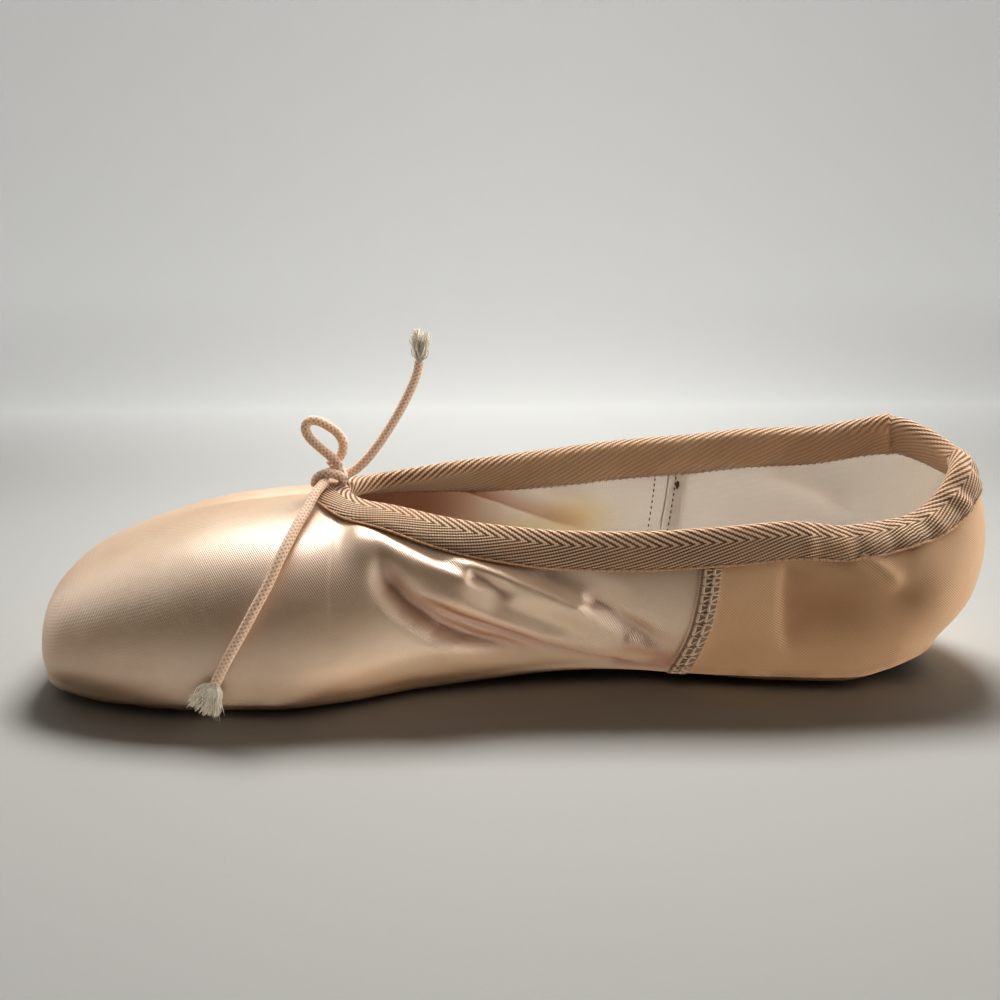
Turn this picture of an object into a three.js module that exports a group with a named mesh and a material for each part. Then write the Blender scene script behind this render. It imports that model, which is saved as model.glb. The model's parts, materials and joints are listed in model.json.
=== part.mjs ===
// A satin pointe shoe, standing empty on its leather sole, with its drawstring tied at the throat.
// Millimetres, +Z up. The toe points to -X and the heel to +X. The near side, whose wall is slack, is -Y.
// The origin is on the floor, under the middle of the shoe.
import * as THREE from "three";
import { mergeVertices } from "three/addons/utils/BufferGeometryUtils.js";

// Driving dimensions of the last
const LENGTH = 238;
const BALL_WIDTH = 75;
const INSTEP_HEIGHT = 45.5;
const HEEL_HEIGHT = 56;
const VAMP_LENGTH = 75;
const HEEL_RADIUS = 26;
const TIP_ROUND = 14;
const PLATFORM_LEAN = 0.12;
const THROAT_ROUND = 9;
const EDGE_RADIUS = 3;
const BOX_EDGE_RADIUS = 4;
const EDGE_HEIGHT = 1.1;

// Thicknesses and clearances
const SATIN_WALL = 1.3;
const BOX_WALL = 3;
const BOX_LENGTH = 46;
const SOLE_THICKNESS = 2.2;
const SOLE_INSET = 4.6;
const SOLE_HEEL_REACH = 11.5;
const SOLE_BEVEL = 0.7;
const SOLE_TIP_GAP = 20;
const SOLE_TIP_ROUND = 26;
const SOLE_RECESS_GAP = 0.6;
const RECESS_STEP = 1.5;
const ARCH_RISE = 2.5;
const INSOLE_THICKNESS = 1.6;
const INSOLE_GAP = 0.8;
const INSOLE_TOE_GAP = 7;
const INSOLE_TIP_ROUND = 14;
const INSOLE_HEEL_REACH = 13.5;
const INSOLE_BEVEL = 0.3;
const LASTING_MARGIN = 15;
const HEEL_MARGIN_HOLE = 5;
const MARGIN_TIP_GAP = 12;
const MARGIN_ROUND = 18;
const FIT_GAP = 0.4;

// The twill tape folded over the collar
const TAPE_THICKNESS = 0.8;
const TAPE_OUTSIDE = 8.2;
const TAPE_INSIDE = 9.4;
const TAPE_INNER_GAP = 0.9;
const TAPE_FOLD_GAP = 0.6;
const TAPE_SHOULDER = 0.35;

// The side seam, a raised strip in the wall
const SEAM_FROM_TOE = 162.5;
const SEAM_STRIP = 4.5;
const SEAM_RAISE = 0.4;
const SEAM_SLANT = 7;
const SEAM_SLANT_REACH = 40;

// The elastic drawstring
const CORD_DIAMETER = 2.4;
const CORD_SIDES = 8;

const NEAR = -1;
const FAR = 1;
const TOE_X = -LENGTH / 2;
const HEEL_X = LENGTH / 2 - HEEL_RADIUS;
const THROAT_X = TOE_X + VAMP_LENGTH;
const SEAM_X = TOE_X + SEAM_FROM_TOE;
const SOLE_TIP_X = TOE_X + SOLE_TIP_GAP;
const MARGIN_FROM = SOLE_TIP_X + MARGIN_TIP_GAP;
const UPPER_BASE = SOLE_THICKNESS + FIT_GAP;
const QUARTER = Math.PI / 2;
const HEEL_AT = (HEEL_X - TOE_X) / LENGTH;

// Cross-sections of the last from the toe to the middle of the heel seat. at is the share of LENGTH from the toe,
// width and foot are shares of BALL_WIDTH, at the widest place and along the feather edge, crest is a share of
// INSTEP_HEIGHT, widest the height of the widest place as a share of INSTEP_HEIGHT, and square the exponent of the
// curve over it: 2 is an ellipse, and more is boxier.
const SECTIONS = [
  { at: 0.0, width: 0.65, foot: 0.585, crest: 0.6, widest: 0.26, square: 2.6 },
  { at: 0.05, width: 0.8, foot: 0.74, crest: 0.72, widest: 0.26, square: 2.5 },
  { at: 0.1, width: 0.905, foot: 0.855, crest: 0.825, widest: 0.27, square: 2.4 },
  { at: 0.18, width: 0.98, foot: 0.945, crest: 0.935, widest: 0.28, square: 2.35 },
  { at: 0.26, width: 1.0, foot: 0.95, crest: 0.98, widest: 0.29, square: 2.3 },
  { at: 0.32, width: 0.96, foot: 0.865, crest: 1.0, widest: 0.31, square: 2.25 },
  { at: 0.4, width: 0.845, foot: 0.665, crest: 1.0, widest: 0.35, square: 2.2 },
  { at: 0.47, width: 0.76, foot: 0.575, crest: 1.0, widest: 0.38, square: 2.2 },
  { at: 0.55, width: 0.7, foot: 0.54, crest: 1.0, widest: 0.4, square: 2.2 },
  { at: 0.65, width: 0.685, foot: 0.555, crest: 1.0, widest: 0.42, square: 2.2 },
  { at: 0.75, width: 0.695, foot: 0.59, crest: 1.0, widest: 0.45, square: 2.2 },
  { at: 0.83, width: 0.7, foot: 0.62, crest: 1.0, widest: 0.49, square: 2.2 },
  { at: 0.892, width: 0.682, foot: 0.61, crest: 1.0, widest: 0.54, square: 2.2 },
];

// The collar from the throat to the middle of the heel seat, each side. Heights are shares of HEEL_HEIGHT, and outs
// are half-widths as shares of BALL_WIDTH.
const COLLAR = [
  { at: 0.3125, nearUp: 0.8125, farUp: 0.8125, nearOut: 0.12, farOut: 0.12 },
  { at: 0.33, nearUp: 0.806, farUp: 0.808, nearOut: 0.14, farOut: 0.14 },
  { at: 0.37, nearUp: 0.792, farUp: 0.822, nearOut: 0.175, farOut: 0.175 },
  { at: 0.42, nearUp: 0.76, farUp: 0.84, nearOut: 0.225, farOut: 0.225 },
  { at: 0.47, nearUp: 0.737, farUp: 0.855, nearOut: 0.262, farOut: 0.262 },
  { at: 0.55, nearUp: 0.712, farUp: 0.89, nearOut: 0.285, farOut: 0.285 },
  { at: 0.62, nearUp: 0.708, farUp: 0.925, nearOut: 0.29, farOut: 0.29 },
  { at: 0.7, nearUp: 0.725, farUp: 0.95, nearOut: 0.29, farOut: 0.29 },
  { at: 0.77, nearUp: 0.742, farUp: 0.98, nearOut: 0.275, farOut: 0.28 },
  { at: 0.83, nearUp: 0.712, farUp: 0.99, nearOut: 0.25, farOut: 0.265 },
  { at: 0.892, nearUp: 0.725, farUp: 1.035, nearOut: 0.2, farOut: 0.235 },
];

// The heel, as a fan about the middle of its seat. turn is the share of the way from the side to the back. back, foot
// and out are the radii of the wall, the feather edge and the collar, as shares of HEEL_RADIUS. up is the height of
// the collar and widest that of the widest place, as shares of HEEL_HEIGHT.
const HEEL_FAN = [
  { turn: 0.0, back: 0.984, foot: 0.88, widest: 0.439, nearUp: 0.725, farUp: 1.035, nearOut: 0.577, farOut: 0.678 },
  { turn: 0.3, back: 0.975, foot: 0.81, widest: 0.47, nearUp: 0.765, farUp: 1.055, nearOut: 0.55, farOut: 0.65 },
  { turn: 0.6, back: 0.98, foot: 0.71, widest: 0.53, nearUp: 0.85, farUp: 1.02, nearOut: 0.6, farOut: 0.66 },
  { turn: 0.85, back: 0.995, foot: 0.64, widest: 0.58, nearUp: 0.935, farUp: 0.98, nearOut: 0.685, farOut: 0.69 },
  { turn: 1.0, back: 1.0, foot: 0.62, widest: 0.59, nearUp: 0.96, farUp: 0.96, nearOut: 0.71, farOut: 0.71 },
];

const clamp = (value, low, high) => Math.min(high, Math.max(low, value));
const mix = (a, b, share) => a + (b - a) * share;
const ease = (share) => {
  const t = clamp(share, 0, 1);
  return t * t * (3 - 2 * t);
};

// A column of a table between its rows, on a smooth curve that never overshoots a row.
function read(rows, key, column, at) {
  const place = clamp(at, rows[0][key], rows[rows.length - 1][key]);
  let i = 0;
  while (i < rows.length - 2 && place > rows[i + 1][key]) i += 1;
  const slope = (n) => (rows[n + 1][column] - rows[n][column]) / (rows[n + 1][key] - rows[n][key]);
  const tangent = (n) => {
    if (n === 0) return slope(0);
    if (n === rows.length - 1) return slope(n - 1);
    const before = slope(n - 1);
    const after = slope(n);
    return before * after <= 0 ? 0 : (2 * before * after) / (before + after);
  };
  const span = rows[i + 1][key] - rows[i][key];
  const t = (place - rows[i][key]) / span;
  return (
    (2 * t ** 3 - 3 * t ** 2 + 1) * rows[i][column] +
    (t ** 3 - 2 * t ** 2 + t) * span * tangent(i) +
    (3 * t ** 2 - 2 * t ** 3) * rows[i + 1][column] +
    (t ** 3 - t ** 2) * span * tangent(i + 1)
  );
}

// How far the sole leaves the floor at x: nothing at the forefoot and heel, and a low arch between them.
const ARCH_FROM = TOE_X + 0.4 * LENGTH;
const ARCH_TO = TOE_X + 0.78 * LENGTH;
function lift(x) {
  const share = clamp((x - ARCH_FROM) / (ARCH_TO - ARCH_FROM), 0, 1);
  return ARCH_RISE * Math.sin(Math.PI * share) ** 2;
}

// A nose that opens from nothing to its full width over a round of that length.
const nose = (distance, round) => Math.sqrt(Math.max(0, 1 - (1 - clamp(distance / round, 0, 1)) ** 2));

// Half the width of the last along the feather edge, at x in front of the heel's fan.
const footHalf = (x) => (BALL_WIDTH / 2) * read(SECTIONS, "at", "foot", (x - TOE_X) / LENGTH);

// Half the width of the leather sole at x, grown all round by grow.
function soleHalf(x, grow) {
  const back = Math.max(0, x - HEEL_X) / (SOLE_HEEL_REACH + grow);
  const half = footHalf(Math.min(x, HEEL_X)) - SOLE_INSET + grow;
  return half * nose(x - SOLE_TIP_X + grow, SOLE_TIP_ROUND) * Math.sqrt(Math.max(0, 1 - back ** 2));
}

// The wall's thickness: stiff at the box, thin along the quarters.
const wall = (x) => mix(BOX_WALL, SATIN_WALL, ease((x - TOE_X - 0.6 * BOX_LENGTH) / BOX_LENGTH));

// How far the foot of the section at x leans toward the toe, so that the side seam slants.
const slantAt = (x) => SEAM_SLANT * Math.max(0, 1 - Math.abs(x - SEAM_X) / SEAM_SLANT_REACH);

// Where a station stands and the sizes of its section. A station up to HEEL_AT is a plane across the shoe, and one
// beyond it is a radial plane of the heel's fan.
function station(side, at) {
  const heel = clamp((at - HEEL_AT) / (1 - HEEL_AT), 0, 1);
  const fan = at > HEEL_AT;
  const x = fan ? HEEL_X : TOE_X + at * LENGTH;
  const name = side === NEAR ? "near" : "far";
  const half = BALL_WIDTH / 2;
  const closed = x <= THROAT_X;
  const tip = clamp((x - TOE_X) / TIP_ROUND, 0, 1);
  let out = 0;
  if (fan) out = HEEL_RADIUS * read(HEEL_FAN, "turn", name + "Out", heel);
  else if (!closed) out = 2 * half * read(COLLAR, "at", name + "Out", at) * nose(x - THROAT_X, THROAT_ROUND);
  let up = INSTEP_HEIGHT * read(SECTIONS, "at", "crest", at);
  if (fan) up = HEEL_HEIGHT * read(HEEL_FAN, "turn", name + "Up", heel);
  else if (!closed) up = HEEL_HEIGHT * read(COLLAR, "at", name + "Up", at);
  const under = x - slantAt(x);
  const foot = fan ? HEEL_RADIUS * read(HEEL_FAN, "turn", "foot", heel) : footHalf(under);
  const turn = fan ? QUARTER * (1 - heel) : QUARTER;
  const across = soleHalf(under, SOLE_RECESS_GAP);
  const around = 1 / Math.hypot(Math.cos(turn) / (SOLE_HEEL_REACH + SOLE_RECESS_GAP), Math.sin(turn) / across);
  const margin = (foot - LASTING_MARGIN) * nose(x - MARGIN_FROM, MARGIN_ROUND);
  return {
    x,
    out,
    up,
    foot,
    turn,
    wide: fan ? HEEL_RADIUS * read(HEEL_FAN, "turn", "back", heel) : half * read(SECTIONS, "at", "width", at),
    widest: fan
      ? HEEL_HEIGHT * read(HEEL_FAN, "turn", "widest", heel)
      : INSTEP_HEIGHT * read(SECTIONS, "at", "widest", at),
    square: fan ? 2.2 : read(SECTIONS, "at", "square", at),
    edge: mix(BOX_EDGE_RADIUS, EDGE_RADIUS, ease((x - TOE_X) / BOX_LENGTH)),
    inner: fan ? mix(foot - LASTING_MARGIN, HEEL_MARGIN_HOLE, heel) : margin,
    recess: fan ? around : across,
    swell: (1 - (1 - tip) ** 4) ** 0.25,
  };
}

// Rows of the section, from the margin turned under the shoe to the collar, or the crest in front of the throat.
const UNDER_ROWS = 4;
const EDGE_ROWS = 3;
const SIDE_ROWS = 2;
const OVER_ROWS = 6;
const OVER_FROM = UNDER_ROWS + EDGE_ROWS + SIDE_ROWS;
const TOP_ROW = OVER_FROM + OVER_ROWS;

// A point of the section, as its distance out and its height, at a row from 0 to TOP_ROW.
function section(s, row) {
  if (row >= OVER_FROM) {
    const top = Math.acos(clamp((s.out / s.wide) ** (s.square / 2), 0, 1));
    const angle = (top * (row - OVER_FROM)) / OVER_ROWS;
    const share = 2 / s.square;
    const reach = Math.cos(angle) < 1e-9 ? 0 : Math.cos(angle) ** share;
    const rise = Math.sin(angle) ** share / Math.sin(top) ** share;
    return [s.wide * reach, mix(s.widest, s.up, rise)];
  }
  if (row >= UNDER_ROWS + EDGE_ROWS) {
    const share = (row - UNDER_ROWS - EDGE_ROWS) / SIDE_ROWS;
    return [mix(s.foot, s.wide, Math.sin(share * QUARTER)), mix(EDGE_HEIGHT + s.edge, s.widest, share)];
  }
  if (row > UNDER_ROWS) {
    const angle = (QUARTER * (row - UNDER_ROWS)) / EDGE_ROWS;
    return [s.foot - s.edge * (1 - Math.sin(angle)), EDGE_HEIGHT + s.edge * (1 - Math.cos(angle))];
  }
  const step = Math.max(s.recess, s.inner + 0.3);
  const foot = s.foot - s.edge;
  const raised = mix(EDGE_HEIGHT, UPPER_BASE, ease((s.recess - s.inner) / RECESS_STEP));
  const under = [
    [s.inner, raised],
    [mix(s.inner, step, 0.5), raised],
    [step, raised],
    [step + 0.55 * Math.max(0.3, foot - step), EDGE_HEIGHT],
    [foot, EDGE_HEIGHT],
  ];
  const from = Math.min(Math.floor(row), UNDER_ROWS - 1);
  return [0, 1].map((k) => mix(under[from][k], under[from + 1][k], row - from));
}

// A point of the last's surface at a station and a row of its section.
function last(side, at, row) {
  const s = station(side, at);
  const [reach, height] = section(s, row);
  const middle = mix(EDGE_HEIGHT, s.up, 0.45);
  const z = mix(middle, height, s.swell);
  const out = reach * s.swell;
  const lean = PLATFORM_LEAN * (z - middle) * (1 - ease((s.x - TOE_X) / (2 * BOX_LENGTH)));
  const below = clamp((s.up - z) / (s.up - EDGE_HEIGHT), 0, 1);
  const x = s.x + lean - slantAt(s.x) * below ** 2 + out * Math.cos(s.turn);
  return new THREE.Vector3(x, side * out * Math.sin(s.turn), z + lift(x) * (1 - ease(z / s.widest)));
}

// The direction out of the shoe at a point of the last.
const STEP = 1e-4;
const ROW_STEP = 0.02;
function outward(side, at, row) {
  if (at < STEP) return new THREE.Vector3(-1, 0, PLATFORM_LEAN).normalize();
  const centred = Math.abs(last(side, at, row).y) < 1e-9;
  const ahead = centred && at < HEEL_AT ? at : Math.min(at + STEP, 1);
  const along = last(side, ahead, row).sub(last(side, at - STEP, row));
  const above = Math.min(row + ROW_STEP, TOP_ROW);
  const below = Math.max(row - ROW_STEP, 0);
  const up = last(side, at, above).sub(last(side, at, below));
  const normal = along.cross(up).multiplyScalar(-side).normalize();
  if (centred) normal.setY(0).normalize();
  return normal;
}

// Height of the raised strip of the side seam above the wall.
function seamStep(at, row) {
  const x = TOE_X + at * LENGTH;
  const within = x > SEAM_X - 0.01 && x < SEAM_X + SEAM_STRIP + 0.01;
  return within && row > UNDER_ROWS && row < TOP_ROW - 2 ? SEAM_RAISE : 0;
}

// Places along the shoe where the stations stand: close at the tip, the throat, the seam and round the heel.
const STATION_PITCH = 8;
const HEEL_STATIONS = 8;
function stations() {
  const places = [0, 0.1, 0.5, 1.3, 3, 5.5, 9, TIP_ROUND].map((distance) => distance / LENGTH);
  const onShoe = (x) => (x - TOE_X) / LENGTH;
  for (const x of [-1.6, -0.6, -0.35, 1, 3.5, 7.5]) places.push(onShoe(SOLE_TIP_X + x));
  for (const x of [0, 1.5, 6]) places.push(onShoe(MARGIN_FROM + x));
  for (let x = MARGIN_FROM + 12; x < THROAT_X - 3; x += STATION_PITCH) places.push(onShoe(x));
  for (const turn of [0, 0.17, 0.33, 0.5, 0.67, 0.83, 1])
    places.push(onShoe(THROAT_X + THROAT_ROUND * (1 - Math.cos(turn * QUARTER))));
  for (let x = THROAT_X + THROAT_ROUND + 5; x < SEAM_X - 4; x += STATION_PITCH) places.push(onShoe(x));
  for (const edge of [-0.4, 0, SEAM_STRIP, SEAM_STRIP + 0.4]) places.push(onShoe(SEAM_X + edge));
  for (let x = SEAM_X + SEAM_STRIP + 7; x < HEEL_X - 4; x += STATION_PITCH) places.push(onShoe(x));
  for (let i = 0; i <= HEEL_STATIONS; i += 1) places.push(mix(HEEL_AT, 1, i / HEEL_STATIONS));
  return places;
}
const STATIONS = stations();
const ROWS = Array.from({ length: TOP_ROW + 1 }, (_, i) => i);

// Triangles collected as plain numbers, then closed into a geometry.
class Skin {
  constructor() {
    this.numbers = [];
  }

  triangle(a, b, c) {
    for (const p of [a, b, c]) this.numbers.push(p.x, p.y, p.z);
  }

  quad(a, b, c, d, flip) {
    if (flip) {
      this.triangle(a, c, b);
      this.triangle(a, d, c);
    } else {
      this.triangle(a, b, c);
      this.triangle(a, c, d);
    }
  }

  geometry() {
    const flat = new THREE.BufferGeometry();
    flat.setAttribute("position", new THREE.Float32BufferAttribute(this.numbers, 3));
    const merged = mergeVertices(flat, 1e-3);
    const index = merged.index.array;
    const kept = [];
    for (let i = 0; i < index.length; i += 3) {
      const [a, b, c] = [index[i], index[i + 1], index[i + 2]];
      if (a !== b && b !== c && c !== a) kept.push(a, b, c);
    }
    merged.setIndex(kept);
    return merged;
  }
}

// The wall of the upper, between the last's surface and its own inner face.
function upperGeometry() {
  const grids = [NEAR, FAR].map((side) =>
    STATIONS.map((at) =>
      ROWS.map((row) => {
        const point = last(side, at, row);
        const normal = outward(side, at, row);
        return {
          out: point.clone().addScaledVector(normal, seamStep(at, row)),
          in: point.clone().addScaledVector(normal, -wall(TOE_X + at * LENGTH)),
        };
      }),
    ),
  );
  const [near, far] = grids;
  for (const [i, column] of near.entries())
    for (const [j, cell] of column.entries()) if (Math.abs(cell.out.y) < 1e-9) far[i][j] = cell;
  const throat = STATIONS.findIndex((at) => TOE_X + at * LENGTH > THROAT_X - 1e-6);
  const foot = STATIONS.findIndex((at) => TOE_X + at * LENGTH > MARGIN_FROM + 1e-6) - 1;
  const skin = new Skin();
  for (const grid of grids) {
    const flip = grid === far;
    for (let i = 0; i < grid.length - 1; i += 1) {
      for (let j = 0; j < TOP_ROW; j += 1) {
        const [a, b, c, d] = [grid[i][j], grid[i + 1][j], grid[i + 1][j + 1], grid[i][j + 1]];
        skin.quad(a.out, b.out, c.out, d.out, flip);
        skin.quad(a.in, b.in, c.in, d.in, !flip);
      }
      const [a, b] = [grid[i][TOP_ROW], grid[i + 1][TOP_ROW]];
      if (i >= throat) skin.quad(a.out, b.out, b.in, a.in, flip);
      const [c, d] = [grid[i][0], grid[i + 1][0]];
      if (i >= foot) skin.quad(c.out, d.out, d.in, c.in, !flip);
    }
  }
  return skin.geometry();
}

// A flat piece between two heights, with its outline given by half widths along x and its lower edge bevelled.
function sheetGeometry(places, half, bottom, top, bevel) {
  const skin = new Skin();
  const ring = (x) => {
    const reach = half(x);
    const cut = Math.min(bevel, 0.4 * reach);
    const [low, high] = [bottom(x), top(x)];
    const corners = [
      [-reach + cut, low],
      [reach - cut, low],
      [reach, low + cut],
      [reach, high],
      [-reach, high],
      [-reach, low + cut],
    ];
    return corners.map(([y, z]) => new THREE.Vector3(x, y, z));
  };
  const rings = places.map(ring);
  for (let i = 0; i < rings.length - 1; i += 1) {
    for (let j = 0; j < 6; j += 1) {
      const k = (j + 1) % 6;
      skin.quad(rings[i][j], rings[i + 1][j], rings[i + 1][k], rings[i][k], true);
    }
  }
  for (const [end, flip] of [[rings[0], true], [rings[rings.length - 1], false]]) {
    skin.quad(end[0], end[1], end[2], end[5], flip);
    skin.quad(end[5], end[2], end[3], end[4], flip);
  }
  return skin.geometry();
}

// Places along x from one end of a piece to the other, closer together where its ends are round.
function places(from, to, round, count) {
  const found = [];
  for (let i = 0; i <= count; i += 1) {
    const t = i / count;
    found.push(mix(from, to, mix(t, 0.5 - 0.5 * Math.cos(Math.PI * t), round)));
  }
  return found;
}

// The leather sole
const SOLE_END_X = HEEL_X + SOLE_HEEL_REACH;
const outsoleGeometry = sheetGeometry(
  places(SOLE_TIP_X + 0.15, SOLE_END_X - 0.1, 0.75, 46),
  (x) => soleHalf(x, 0),
  (x) => lift(x),
  (x) => lift(x) + SOLE_THICKNESS,
  SOLE_BEVEL,
);

// The insole lies on the lasting margin, inside the wall.
const INSOLE_FROM = TOE_X + BOX_WALL + INSOLE_TOE_GAP;
const insoleBase = (x) => UPPER_BASE + lift(x) + wall(x) + FIT_GAP;
function insoleHalf(x) {
  const back = Math.max(0, x - HEEL_X) / INSOLE_HEEL_REACH;
  const half = footHalf(Math.min(x, HEEL_X)) - wall(x) - INSOLE_GAP;
  return half * nose(x - INSOLE_FROM, INSOLE_TIP_ROUND) * Math.sqrt(Math.max(0, 1 - back ** 2));
}
const insoleGeometry = sheetGeometry(
  places(INSOLE_FROM + 0.1, HEEL_X + INSOLE_HEEL_REACH - 0.1, 0.75, 42),
  insoleHalf,
  insoleBase,
  (x) => insoleBase(x) + INSOLE_THICKNESS,
  INSOLE_BEVEL,
);

// A point of the last near a wished place, found from a station and a row close by.
function nearest(side, from, wish) {
  let [at, row] = [from, TOP_ROW];
  for (let i = 0; i < 12; i += 1) {
    const here = last(side, at, row);
    const step = at + STEP > 1 ? -STEP : STEP;
    const towardHeel = last(side, at + step, row).sub(here).divideScalar(step);
    const down = here.clone().sub(last(side, at, row - ROW_STEP)).divideScalar(ROW_STEP);
    const miss = wish.clone().sub(here);
    const [aa, ab, bb] = [towardHeel.dot(towardHeel), towardHeel.dot(down), down.dot(down)];
    const [am, bm] = [towardHeel.dot(miss), down.dot(miss)];
    const whole = aa * bb - ab * ab;
    if (whole < 1e-9) break;
    at = clamp(at + (am * bb - bm * ab) / whole, STEP, 1);
    row = clamp(row + (bm * aa - am * ab) / whole, OVER_FROM, TOP_ROW);
  }
  return { point: last(side, at, row), normal: outward(side, at, row) };
}

// The tape: a channel folded over the edge of the collar, with a leg down each face of the wall.
const LEG_STEPS = 4;
function tapeGeometry() {
  const open = STATIONS.filter((at) => TOE_X + at * LENGTH > THROAT_X - 1e-6);
  const ring = [
    ...open.map((at) => ({ side: NEAR, at })).reverse(),
    ...open.slice(1, -1).map((at) => ({ side: FAR, at })),
  ];
  const rim = ring.map(({ side, at }) => last(side, at, TOP_ROW));
  const rings = ring.map(({ side, at }, i) => {
    const along = rim[(i + 1) % rim.length].clone().sub(rim[(i + rim.length - 1) % rim.length]).normalize();
    const normal = outward(side, at, TOP_ROW);
    const away = normal.clone().cross(along).normalize();
    const thick = wall(rim[i].x);
    const leg = (reach) =>
      Array.from({ length: LEG_STEPS }, (_, k) => {
        if (k === 0) return { point: rim[i], normal };
        const wish = rim[i].clone().addScaledVector(away, (reach * k) / (LEG_STEPS - 1));
        const found = nearest(side, at, wish);
        if (Math.abs(rim[i].y) < 1e-9) {
          found.point.setY(0);
          found.normal.setY(0).normalize();
        }
        return found;
      });
    const offset = ({ point, normal: n }, distance) => point.clone().addScaledVector(n, distance);
    const outside = leg(TAPE_OUTSIDE);
    const inside = leg(TAPE_INSIDE);
    const far = FIT_GAP + TAPE_THICKNESS;
    const fold = TAPE_FOLD_GAP + TAPE_THICKNESS;
    const inner = thick + TAPE_INNER_GAP;
    const above = (distance, rise) => offset({ point: rim[i], normal }, distance).addScaledVector(away, -rise);
    return [
      ...outside.map((p) => offset(p, far)).reverse(),
      above(far - TAPE_SHOULDER, 0.75 * fold),
      above(-thick / 2, fold),
      above(-inner - TAPE_THICKNESS + TAPE_SHOULDER, 0.75 * fold),
      ...inside.map((p) => offset(p, -inner - TAPE_THICKNESS)),
      ...inside.map((p) => offset(p, -inner)).reverse(),
      above(-inner, TAPE_FOLD_GAP),
      above(FIT_GAP, TAPE_FOLD_GAP),
      ...outside.map((p) => offset(p, FIT_GAP)),
    ];
  });
  const skin = new Skin();
  const count = rings[0].length;
  rings.forEach((from, i) => {
    const to = rings[(i + 1) % rings.length];
    for (let j = 0; j < count; j += 1) {
      const k = (j + 1) % count;
      skin.quad(from[j], to[j], to[k], from[k], true);
    }
  });
  return skin.geometry();
}

// The drawstring's route, in millimetres: the loop that stands up from the knot, the end that lies down over the
// vamp, and the end that springs up and back.
const LOOP_ROUTE = [
  [-46.0, 0.2, 51.3],
  [-45.4, 0.2, 52.1],
  [-45.9, 0.2, 53.1],
  [-47.2, 0.3, 54.4],
  [-50.1, 0.5, 57.0],
  [-52.7, 0.8, 59.8],
  [-53.3, 1.2, 62.0],
  [-52.2, 1.6, 63.3],
  [-50.2, 1.9, 63.2],
  [-47.7, 2.3, 61.8],
  [-45.6, 2.7, 60.0],
  [-44.4, 3.1, 57.6],
  [-44.5, 3.3, 55.2],
  [-45.6, 3.4, 53.3],
  [-47.3, 3.3, 52.2],
  [-48.2, 3.1, 51.4],
];
const FRONT_ROUTE = [
  [-48.7, -4.4, 48.6],
  [-49.9, -10.0, 47.5],
  [-51.1, -15.4, 45.2],
  [-52.4, -20.5, 43.2],
  [-54.9, -28.6, 38.4],
  [-57.8, -34.0, 32.3],
  [-60.4, -36.8, 27.8],
  [-63.0, -38.2, 23.2],
  [-66.7, -39.0, 17.0],
  [-69.9, -39.2, 11.0],
];
const BACK_ROUTE = [
  [-44.4, 3.3, 48.9],
  [-43.3, 3.8, 49.1],
  [-41.6, 4.4, 49.9],
  [-39.2, 5.2, 51.9],
  [-36.2, 6.9, 55.3],
  [-33.2, 8.8, 59.4],
  [-30.2, 11.0, 64.0],
  [-27.5, 13.2, 69.0],
  [-25.7, 15.0, 73.3],
  [-25.2, 15.9, 75.8],
];
const KNOT_CENTRE = [-47.4, -0.4, 48.7];
const KNOT_HALF = [4.1, 3.6, 1.7];

const toPoint = ([x, y, z]) => new THREE.Vector3(x, y, z);

// A geometry with nothing but joined positions.
function joined(geometry) {
  const bare = new THREE.BufferGeometry();
  bare.setAttribute("position", geometry.getAttribute("position"));
  if (geometry.index) bare.setIndex(geometry.index);
  return mergeVertices(bare, 1e-3);
}

function cordGeometry(route, steps) {
  const round = new THREE.Shape();
  for (let i = 0; i < CORD_SIDES; i += 1) {
    const angle = (2 * Math.PI * i) / CORD_SIDES;
    const corner = [(CORD_DIAMETER / 2) * Math.cos(angle), (CORD_DIAMETER / 2) * Math.sin(angle)];
    if (i === 0) round.moveTo(...corner);
    else round.lineTo(...corner);
  }
  const extrudePath = new THREE.CatmullRomCurve3(route.map(toPoint), false, "centripetal");
  return joined(new THREE.ExtrudeGeometry(round, { steps, extrudePath, bevelEnabled: false }));
}

// A frayed end: a flat fan of fibres from the cord's cut end, spreading to a half width and a half depth.
const FRAY_START = 1.25;
function frayGeometry(from, to, halfWidth, halfDepth) {
  const [start, end] = [toPoint(from), toPoint(to)];
  const along = end.clone().sub(start);
  const length = along.length();
  const cone = new THREE.CylinderGeometry(1, 1, length, 12, 4);
  const spots = cone.getAttribute("position");
  for (let i = 0; i < spots.count; i += 1) {
    const share = clamp(spots.getY(i) / length + 0.5, 0, 1);
    const spread = share ** 0.7;
    spots.setX(i, spots.getX(i) * mix(FRAY_START, halfWidth, spread));
    spots.setZ(i, spots.getZ(i) * mix(FRAY_START, halfDepth, spread));
  }
  const turned = new THREE.Quaternion().setFromUnitVectors(new THREE.Vector3(0, 1, 0), along.normalize());
  cone.applyQuaternion(turned);
  cone.translate((start.x + end.x) / 2, (start.y + end.y) / 2, (start.z + end.z) / 2);
  return joined(cone);
}

function knotGeometry() {
  const ball = new THREE.SphereGeometry(1, 16, 10);
  ball.scale(...KNOT_HALF);
  ball.translate(...KNOT_CENTRE);
  return joined(ball);
}

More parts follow.
